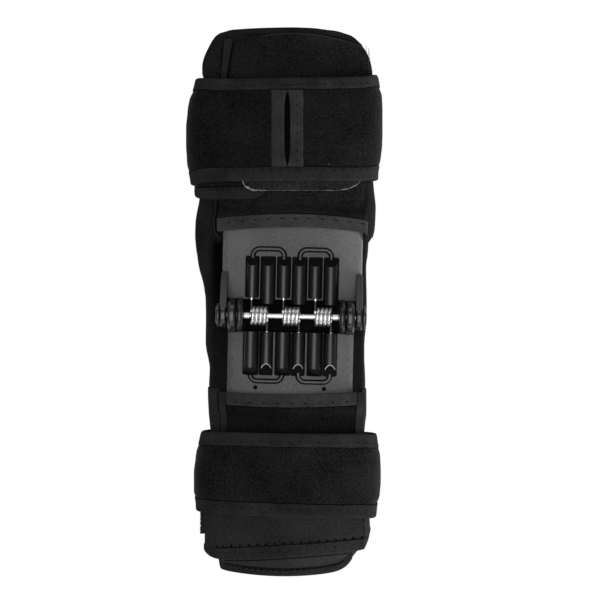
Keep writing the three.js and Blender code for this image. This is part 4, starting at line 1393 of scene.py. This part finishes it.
def make_shin_wrap():
    edges = (shin_wrap_low, level(SHIN_WRAP_TOP))
    face = SHIN_WRAP_LAYER[1]
    wrap = panel(
        "shin_wrap_cloth",
        SHIN_WRAP,
        WHOLE_TURN,
        edges,
        SHIN_WRAP_LAYER,
        ROUND_COLUMNS,
        44,
        closed=True,
        rim=0.5,
    )
    tape = round_tape("shin_wrap_tape", SHIN_WRAP, shin_wrap_low, -1, 21, shin_tape_reach, SHIN_WRAP_LAYER)
    above = row_across(SHIN_WRAP, evenly(-50, 55, 6.1), moved(shin_seam_height, 1.4), face)
    dots = stitches("shin_wrap_dots", above, 2.1, 1.6, 0.8)
    below = row_across(SHIN_WRAP, evenly(-48, 55, 6.6), moved(shin_wrap_low, 4.4), face + TRIM_FACE)
    row = stitches("shin_wrap_stitches", below, 1.7, 0.6)
    seam = crease("shin_wrap_seam", SHIN_WRAP, (-1.1, 1.15), moved(shin_seam_height, 0.3), face, 90, 0.7)

    def upright(u, v):
        y = -174 + 16 * v
        turn = 1.12 - 0.13 * v + 0.022 * (u - 0.5)
        return loop_point(SHIN_WRAP, turn, y, face + 0.3)

    side_seam = sheet_grid("shin_wrap_side_seam", 2, 20, upright, (0.8, 14))
    thicken(side_seam, 0.1, -1, 0.03)

    def ragged(u, v):
        y = -171.4 + 16.0 * v
        reach = u * (3.6 + 0.8 * uneven(23, y, 0.8))
        return loop_point(SHIN_WRAP, FRAY_TURN, y, face - 0.4 + reach)

    shade = crease("shin_wrap_shade", LINER, (-0.95, 0.8), moved(shin_wrap_low, -1.5), 0, 90, 2.0)
    fray = sheet_grid("shin_hook_fray", 4, 50, ragged, (2.4, 11.7))
    thicken(fray, 0.7, 1, 0.1)
    dress(wrap, FLAP_CLOTH, "pile_cloth", "shin_wrap")
    dress(tape, FLAP_CLOTH, "binding_tape", "shin_wrap_binding")
    dress(fray, FLAP_CLOTH, "hook_tape")
    dress_all((dots, row, seam, side_seam), THREAD_AND_SHADE)
    dress(shade, SOFT_THREAD_AND_SHADE, "binding_tape")


def shin_strap_low(turn):
    return SHIN_STRAP_FOOT - 2.2 * across(turn) + TAPE + GAP


def shin_strap_high(turn):
    return SHIN_STRAP_TOP - across(turn) - 1.4 * smoothstep(0.8, 2, abs(turn)) - TAPE - GAP


def shin_swell(y, turn):
    return swell(y, shin_strap_low(turn), shin_strap_high(turn))


def make_shin_strap():
    edges = (shin_strap_low, shin_strap_high)
    seeds = (31, 32)
    strap = panel(
        "shin_strap_cloth",
        SHIN_STRAP,
        WHOLE_TURN,
        edges,
        STRAP_LAYER,
        ROUND_COLUMNS,
        56,
        shin_swell,
        closed=True,
        rim=0.4,
    )
    upper = round_tape("shin_strap_tape_upper", SHIN_STRAP, shin_strap_high, 1, seeds[0])
    lower = round_tape("shin_strap_tape_lower", SHIN_STRAP, shin_strap_low, -1, seeds[1])
    rows = strap_stitches(
        "shin_strap_stitches",
        SHIN_STRAP,
        evenly(-52, 60, 6.9),
        moved(shin_strap_high, -5.6),
        moved(shin_strap_low, 5.2),
    )
    seams = strap_seams("shin_strap", SHIN_STRAP, *edges, seeds)
    dress(strap, SHIN_PILE, "pile_cloth", "shin_strap")
    dress(upper, BINDING_TAPE, "binding_tape", "shin_strap_binding_upper")
    dress(lower, BINDING_TAPE, "binding_tape", "shin_strap_binding_lower")
    dress_all((rows, *seams), THREAD_AND_SHADE)


# Hinge: pieces are made about the middle of the hinge line and then set on the brace

# Ears and lugs: their reach along X on either side, and the outlines of their arms in Y and Z
EAR = (46.6, 51.6)
EAR_RADIUS = 9.0
EAR_ROUNDING = 1.6
EAR_WEB = [(-2, -8.6), (13, -15.4), (31.5, -15.4), (31.5, -12.6), (23, -4.5), (5.4, 7.2)]
LOWER_LUG = (39.7, 45.8)
INNER_LUG = (34.8, 39.2)
LUG_RADIUS = 11.3
LUG_ROUNDING = 2.1
LUG_WEB = [(2, -11), (11.9, -12.6), (12.6, -12.6), (12.6, -9.6), (9.4, -5.4)]

# Plates of the shells: the far edge on the middle line, and how far it comes in at the sides
UPPER_TOP = 69
UPPER_TOP_FALL = 4
LOWER_HALF = 46.1
LOWER_FOOT = -63
LOWER_FOOT_RISE = 2

# Radii of the housings, and the pairs of housings that a bead joins
LEG_HOUSING = 4.7
UPPER_HOUSING = 5.2
LOWER_HOUSING = 5.5
BEADED = [(0, 2), (3, 5)]

BEAD_CORNER = 5.0
UPPER_BEAD_END = 48.6
LOWER_BEAD_END = -47.6
PAD_THICK = 2.4
HOLE_X = 25.0
HOLE_Y = -52.4
HOLE_RADIUS = 1.6
DOME_ROUNDING = 5.2
ROD_RADIUS = 2.1
BUSH_RADIUS = 2.6
BUSH_X = 32.1
BUSH_HALF = 2.5

# Discs of a rivet head: radius, height and rounding
RIVET_FLANGE = (8.6, 1.5, 0.5)
RIVET_DOME = (6.6, 2.5, 1.1)

# A spring leg's lengths, drawn out one after the other, and how far from the hinge line it is painted dark as
# shade
LEG_STEPS = (4.0, 7.4, LEG_LENGTH - 11.4)
DARK_LEG = (4.5, 12.6)


def set_on_hinge(piece):
    place = Matrix.Translation(MM * Vector((SHELL_X, HINGE_Y, 0)))
    piece.data.transform(place @ Matrix.Rotation(HINGE_TURN, 4, "Z"))


def arch_top(x, out):
    return CROWN - ARCH_RADIUS + math.sqrt((ARCH_RADIUS + out) ** 2 - x ** 2)


def lay_on_arch(piece, x, y, z):
    """Leans a flat piece to the slope of the arch at x, and sets it at a place."""
    lean = Matrix.Rotation(math.asin(x / ARCH_RADIUS), 4, "Y")
    piece.data.transform(Matrix.Translation(MM * Vector((x, y, z))) @ lean)


def housing_x(k):
    return (k - 2.5) * HOUSING_PITCH


def upper_housing_x(k):
    """The upper shell's housings stand slightly closer than the lower shell's."""
    return 0.985 * housing_x(k) - 0.25


def shell_plate(name, half, low, high):
    """A plate bent to the arch, between edges whose y depends on x."""
    def place(u, v):
        x = half * (2 * u - 1)
        turned_down = 1.3 * smoothstep(half - 3.4, half, abs(x))
        return Vector((x, low(x) + (high(x) - low(x)) * v, arch_top(x, PLATE_LAYER[1]) - turned_down))

    plate = sheet_grid(name, 80, 24, place, (2 * half, high(0) - low(0)))
    apply_modifier(plate, "SOLIDIFY", thickness=(PLATE_LAYER[1] - PLATE_LAYER[0]) * MM, offset=-1)
    round_edges(plate, 0.7, 3, 50)
    plate.data.materials.append(SHELL_GRAIN)
    return plate


def add_cylinder(radius, length, middle, rotation=(0, 0, 0), vertices=24):
    """A cylinder to start a piece from."""
    deselect_all()
    bpy.ops.mesh.primitive_cylinder_add(
        vertices=vertices,
        radius=radius * MM,
        depth=length * MM,
        location=MM * Vector(middle),
        rotation=rotation,
    )
    bpy.ops.object.transform_apply()
    return bpy.context.active_object


def drill(plate, x, y, radius):
    """A round hole through a plate."""
    bit = add_cylinder(radius, 20, (x, y, CROWN))
    apply_modifier(plate, "BOOLEAN", object=bit, operation="DIFFERENCE", solver="EXACT")
    bpy.data.objects.remove(bit)


def half_round(x, radius, near, far):
    """A half-round body along Y with upright sides, left open in edit mode."""
    foot = arch_top(abs(x) + radius, PLATE_LAYER[0] + 1.2)
    middle = (x, (near + far) / 2, HOUSING_Z)
    piece = add_cylinder(radius, abs(far - near), middle, (math.pi / 2, 0, 0), 40)
    edit()
    bpy.ops.mesh.bisect(plane_co=(0, 0, HOUSING_Z * MM), plane_no=(0, 0, 1), clear_inner=True, use_fill=True)
    extrude(0, 0, foot - HOUSING_Z)
    bpy.ops.mesh.select_all(action="SELECT")
    return piece


def scooped_housing(x, radius, near, far, slope, bright):
    """A spring housing whose far end is a scooped slope, with a painted highlight on the rim over it if asked.
    """
    piece = half_round(x, radius, near, far)
    outward = Vector((0, math.copysign(radius, far), slope)).normalized()
    corner = Vector((0, far, HOUSING_Z))

    def past_cut(middle):
        return (middle - corner).dot(outward)

    def on_rim(middle, normal):
        return abs(past_cut(middle) + 0.2) < 0.3 and middle.z > HOUSING_Z + 2.6

    bpy.ops.mesh.bisect(plane_co=MM * corner, plane_no=outward, clear_outer=True, use_fill=True)
    bpy.ops.mesh.inset(thickness=0.8 * MM)
    bpy.ops.transform.translate(value=outward * -0.7 * MM)
    leave_edit()
    round_edges(piece, 0.4, 3, 40)
    piece.data.materials.append(SHELL_POLISH)
    # Painted shade: the steep sides and the scooped end get the darker matte plastic
    paint_faces(piece, SHELL_MATTE_AND_SHADE, lambda middle, normal: abs(normal.x) > 0.85)
    paint_faces(piece, SHELL_MATTE_AND_SHADE, lambda middle, normal: past_cut(middle) > -1)
    if bright:
        paint_faces(piece, SHELL_RIM_HIGHLIGHT, on_rim)
    return piece


def domed_housing(x, radius, near, far):
    """A spring housing whose far end is rounded off."""
    piece = half_round(x, radius, near, far)
    leave_edit()
    foot = min(vertex.co.z for vertex in piece.data.vertices)

    def round_off(edge):
        ends = [piece.data.vertices[index].co for index in edge.vertices]
        at_end = all(abs(end.y - far * MM) < 0.01 * MM for end in ends)
        return at_end and any(end.z > foot + 0.01 * MM for end in ends)

    edit_chosen(piece, "EDGE", round_off)
    bpy.ops.mesh.bevel(offset=DOME_ROUNDING * MM, segments=9, affect="EDGES")
    leave_edit()
    piece.data.materials.append(SHELL_POLISH)
    # Painted shade: faces turned towards the end get a dimmer plastic, and the steepest ones and the sides the
    # darker matte one
    paint_faces(piece, SHELL_HALF_SHADE, lambda middle, normal: abs(normal.y) > 0.05)
    paint_faces(piece, SHELL_MATTE_AND_SHADE, lambda middle, normal: max(abs(normal.x) - 0.55, abs(normal.y)) > 0.3)
    return piece


def pad(first, last, low, high, rise):
    """A low dark pad on a plate, with round corners, between two places along X and two along Y."""
    middle = (first + last) / 2
    deselect_all()
    bpy.ops.mesh.primitive_cube_add(size=1, scale=MM * Vector((last - first, high - low, PAD_THICK)))
    bpy.ops.object.transform_apply()
    piece = bpy.context.active_object

    def upright(edge):
        start, end = (piece.data.vertices[index].co for index in edge.vertices)
        return abs(start.z - end.z) > MM

    edit_chosen(piece, "EDGE", upright)
    bpy.ops.mesh.bevel(offset=1.3 * MM, segments=4, affect="EDGES")
    leave_edit()
    round_edges(piece, 0.2, 2, 60)
    lay_on_arch(piece, middle, (low + high) / 2, arch_top(middle, PLATE_LAYER[1] + rise) - PAD_THICK / 2)
    piece.data.materials.append(SHELL_MATTE_AND_SHADE)
    return piece


def hose_bead(first, last, end, radius, flatness, rise, material):
    """A raised bead that leaves the far end of one housing, turns twice and enters another."""
    way = math.copysign(1, end)
    start = HOUSING_END - 2
    middle = (first + last) / 2
    half = (last - first) / 2
    straight = abs(end) - BEAD_CORNER - start
    deselect_all()
    bpy.ops.mesh.primitive_circle_add(
        vertices=12,
        radius=radius * MM,
        fill_type="NGON",
        location=MM * Vector((-half, way * start, rise)),
        rotation=(math.pi / 2, 0, 0),
        scale=(1, flatness, 1),
    )
    bpy.ops.object.transform_apply()
    piece = bpy.context.active_object

    def quarter_turn(x):
        centre = MM * Vector((x, way * (abs(end) - BEAD_CORNER), rise))
        bpy.ops.mesh.spin(steps=8, angle=math.pi / 2, center=centre, axis=(0, 0, way))

    edit()
    extrude(0, way * straight, 0)
    quarter_turn(BEAD_CORNER - half)
    extrude(2 * (half - BEAD_CORNER), 0, 0)
    quarter_turn(half - BEAD_CORNER)
    extrude(0, -way * straight, 0)
    face_outward()
    lay_on_arch(piece, middle, 0, arch_top(middle, PLATE_LAYER[1]))
    piece.data.materials.append(material)
    return piece


def bead_pair(end, place):
    """The two beads of a shell, each in a dark groove, that reach out to an end along Y."""
    parts = []
    for first, last in BEADED:
        parts.append(hose_bead(place(first), place(last), end, 2.1, 0.6, -0.8, SHELL_MATTE_AND_SHADE))
        parts.append(hose_bead(place(first), place(last), end, 1.2, 1.0, 0.2, SHELL_GRAIN))
    return parts


def disc_along_x(radius, first, last, rounding, vertices=64):
    """A round knuckle on the hinge line with softly rounded rims."""
    middle = ((first + last) / 2, 0, HINGE_Z)
    piece = add_cylinder(radius, last - first, middle, (0, math.pi / 2, 0), vertices)
    round_edges(piece, rounding, 5, 60)
    return piece


def web_along_x(outline, first, last):
    """A flat arm across X with an outline in Y and Z from the hinge line."""
    deselect_all()
    bpy.ops.mesh.primitive_circle_add(vertices=len(outline), radius=MM, fill_type="NGON")
    piece = bpy.context.active_object
    for vertex, (y, z) in zip(piece.data.vertices, outline):
        vertex.co = MM * Vector((first, y, HINGE_Z + z))
    edit()
    extrude(last - first, 0, 0)
    face_outward()
    round_edges(piece, 0.7, 3, 30)
    return piece


def on_side(side, near, far):
    """Two places along X on one side of the middle, the lower first."""
    return sorted((side * near, side * far))


def lug_pair(reach, radius, web, rounding, web_material):
    """A knuckle with its arm on either side of a shell."""
    parts = []
    for side in (-1, 1):
        first, last = on_side(side, *reach)
        disc = disc_along_x(radius, first, last, rounding)
        disc.data.materials.append(KNUCKLE_SATIN)
        arm = web_along_x(web, first, last)
        arm.data.materials.append(web_material)
        parts += [disc, arm]
    return parts


def finish_on_hinge(name, parts, angle, material, slot, cad_node):
    """Joins the parts of a piece, sets it on the brace and dresses it."""
    piece = join(name, parts)
    set_on_hinge(piece)
    smooth(piece, angle)
    dress(piece, material, slot, cad_node)


def make_upper_shell():
    def top(x):
        return UPPER_TOP - UPPER_TOP_FALL * (x / ARCH_HALF) ** 2

    plate = shell_plate("upper_shell_moulding", ARCH_HALF, lambda x: HINGE_WINDOW, top)
    # Painted light: the plate's flanks are lighter
    plate.data.materials[0] = SHELL_FLANK_PAINTED_LIGHT
    # Painted highlight along the plate's right edge
    paint_faces(plate, SHELL_EDGE_HIGHLIGHT, lambda middle, normal: middle.x > ARCH_HALF - 1.2 and normal.z > 0.1)
    parts = [plate]
    for k in range(6):
        x = upper_housing_x(k)
        radius, setback = (LEG_HOUSING, 1.2) if k % 2 == 0 else (UPPER_HOUSING, -3.4)
        near = HINGE_WINDOW + setback
        parts.append(scooped_housing(x, radius, near, HOUSING_END, 6.4, False))
        parts.append(pad(x - radius - 0.5, x + radius + 0.5, near, HOUSING_END + 0.3, 0.25))
    parts += bead_pair(UPPER_BEAD_END, upper_housing_x)
    parts += lug_pair(EAR, EAR_RADIUS, EAR_WEB, EAR_ROUNDING, EAR_PLASTIC)
    parts += lug_pair(INNER_LUG, LUG_RADIUS, LUG_WEB, LUG_ROUNDING, KNUCKLE_SATIN)
    finish_on_hinge("upper_shell_moulding", parts, 35, SHELL_GRAIN, "shell_plastic", "upper_shell")


def make_lower_shell():
    def foot(x):
        return LOWER_FOOT + LOWER_FOOT_RISE * (x / LOWER_HALF) ** 2

    plate = shell_plate("lower_shell_moulding", LOWER_HALF, foot, lambda x: -HINGE_WINDOW)
    for x in (-HOLE_X, HOLE_X):
        drill(plate, x, HOLE_Y, HOLE_RADIUS)
    parts = [plate]
    for k in range(6):
        x = housing_x(k)
        if k % 2 == 1:
            parts.append(scooped_housing(x, LEG_HOUSING, -HINGE_WINDOW, -HOUSING_END, 8.0, True))
            parts.append(pad(x - 5.4, x + 4.9, -HOUSING_END - 0.4, -HINGE_WINDOW, 0.25))
        else:
            parts.append(domed_housing(x, LOWER_HOUSING, -HINGE_WINDOW, -HOUSING_END))
            parts.append(pad(x - 5.6, x + 6.2, -HOUSING_END - 0.4, -HINGE_WINDOW, 0.2))
    parts += bead_pair(LOWER_BEAD_END, housing_x)
    web = [(-y, z) for y, z in reversed(LUG_WEB)]
    parts += lug_pair(LOWER_LUG, LUG_RADIUS, web, LUG_ROUNDING, KNUCKLE_SATIN)
    finish_on_hinge("lower_shell_moulding", parts, 35, SHELL_GRAIN, "shell_plastic", "lower_shell")


def make_spring(name, first_housing, cad_node):
    """A torsion spring: a wire circle screwed round the hinge line, with a leg drawn out of each end."""
    deselect_all()
    bpy.ops.mesh.primitive_circle_add(
        vertices=14,
        radius=WIRE_RADIUS * MM,
        location=(0, 0, -SPRING_RADIUS * MM),
        rotation=(math.pi / 2, 0, 0),
    )
    bpy.ops.object.transform_apply()
    spring = bpy.context.active_object
    apply_modifier(
        spring,
        "SCREW",
        axis="X",
        angle=-2 * math.pi,
        screw_offset=SPRING_PITCH * MM,
        iterations=SPRING_TURNS,
        steps=36,
        render_steps=36,
        use_merge_vertices=False,
    )
    for x, way in ((0, 1), (HOUSING_PITCH, -1)):

        def at_coil_end(vertex):
            place = vertex.co / MM
            return abs(place.y) < 0.01 and abs(place.x - x) < WIRE_RADIUS + 0.05 and place.z < 0

        edit_chosen(spring, "VERT", at_coil_end)
        for length in LEG_STEPS:
            extrude(0, way * length, 0)
        bpy.ops.mesh.edge_face_add()
        leave_edit()
    edit()
    face_outward()
    spring.data.materials.append(SPRING_STEEL)

    def on_dark_leg(middle, normal):
        return DARK_LEG[0] < abs(middle.y) < DARK_LEG[1] and middle.z < -4

    # Painted shade: part of each leg gets a dark steel
    paint_faces(spring, SHADED_LEG_STEEL, on_dark_leg)
    spring.data.transform(Matrix.Translation(MM * Vector((housing_x(first_housing), 0, HINGE_Z))))
    set_on_hinge(spring)
    spring.name = name
    spring.data.name = name
    smooth(spring, 60)
    dress(spring, SPRING_STEEL, "spring_steel", cad_node)


def make_rod():
    end = EAR[1] - 3.5
    parts = [disc_along_x(ROD_RADIUS, -end, end, 0.4, 40)]
    for middle in (-BUSH_X, BUSH_X):
        parts.append(disc_along_x(BUSH_RADIUS, middle - BUSH_HALF, middle + BUSH_HALF, 0.5, 40))
    finish_on_hinge("hinge_rod_steel", parts, 40, ROD_STEEL, "rod_steel", "hinge_rod")


def make_pivot_cap(name, side, cad_node):
    """A domed rivet head outside an ear, with a turned step."""
    foot = EAR[1] + GAP
    discs = []
    for radius, height, rounding in (RIVET_FLANGE, RIVET_DOME):
        discs.append(disc_along_x(radius, *on_side(side, foot, foot + height), rounding))
    finish_on_hinge(name, discs, 40, KNUCKLE_SATIN, "cap_plastic", cad_node)


# Stage, in metres and watts, with the camera's lens in millimetres

FLOOR_SIZE = 60
CAMERA_PLACE = (0.0112, 0.0014, 1.3)
CAMERA_LENS = 103.2
LIGHT_AIM = Vector((0, 0, 0.03))
LIGHTS = [
    ("overhead", (-0.12, -0.5, 1.75), (1.3, 2.3), 27.0),
    ("back", (0.0, 1.9, 1.1), (1.2, 0.7), 6.0),
    ("front", (0.0, -2.1, 0.85), (2.2, 0.7), 8.0),
    ("right", (1.9, -1.0, 0.2), (1.6, 0.36), 80.0),
]


def make_floor():
    """A pale floor that the camera sees as plain white."""
    deselect_all()
    bpy.ops.mesh.primitive_grid_add(x_subdivisions=8, y_subdivisions=8, size=FLOOR_SIZE)
    floor = bpy.context.active_object
    floor.name = "floor"
    material, tree, shader = start_material("pale_floor")
    drift = noise_field(tree, object_places(tree), 3.0, 2)
    tree.links.new(mix_colours(tree, drift, 0.92, 0.94), shader.inputs["Base Color"])
    shader.inputs["Roughness"].default_value = 0.9
    shader.inputs["Specular IOR Level"].default_value = 0.1
    glow = node(tree, "ShaderNodeEmission")
    path = node(tree, "ShaderNodeLightPath")
    blend = node(tree, "ShaderNodeMixShader")
    tree.links.new(path.outputs["Is Camera Ray"], blend.inputs["Fac"])
    tree.links.new(shader.outputs["BSDF"], blend.inputs[1])
    tree.links.new(glow.outputs["Emission"], blend.inputs[2])
    tree.links.new(blend.outputs["Shader"], tree.nodes["Material Output"].inputs["Surface"])
    floor.data.materials.append(material)
    floor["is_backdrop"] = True


def make_lights():
    """Soft lights round the brace. The right one lights its cloth and shows in no gloss."""
    scene = bpy.context.scene
    world = bpy.data.worlds.new("studio")
    scene.world = world
    world.use_nodes = True
    world.node_tree.nodes["Background"].inputs["Color"].default_value = (1, 1, 1, 1)
    world.node_tree.nodes["Background"].inputs["Strength"].default_value = 0.1
    scene.view_settings.view_transform = "Standard"
    for name, place, size, power in LIGHTS:
        deselect_all()
        bpy.ops.object.light_add(type="AREA", location=place)
        light = bpy.context.active_object
        light.name = name
        light.data.shape = "RECTANGLE"
        light.data.size, light.data.size_y = size
        light.data.energy = power
        light.visible_glossy = name != "right"
        if name != "overhead":
            light.rotation_euler = (LIGHT_AIM - Vector(place)).to_track_quat("-Z", "Y").to_euler()


def make_camera():
    deselect_all()
    bpy.ops.object.camera_add(location=CAMERA_PLACE)
    camera = bpy.context.active_object
    camera.data.sensor_width = 36
    camera.data.lens = CAMERA_LENS
    camera.data.clip_start = 0.01
    bpy.context.scene.camera = camera


make_floor()
make_lights()
make_camera()
make_liner()
make_thigh_cover()
make_shin_cover()
make_thigh_wing()
make_hook_tab()
make_thigh_strap()
make_shin_wrap()
make_shin_strap()
make_upper_shell()
make_lower_shell()
make_spring("spring_wire_left", 0, "spring_left")
make_spring("spring_wire_middle", 2, "spring_middle")
make_spring("spring_wire_right", 4, "spring_right")
make_rod()
make_pivot_cap("pivot_rivet_left", -1, "pivot_cap_left")
make_pivot_cap("pivot_rivet_right", 1, "pivot_cap_right")

sizes = {name: [list(corner) for corner in box] for name, box in (("cad", cad_box), ("visual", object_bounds()))}
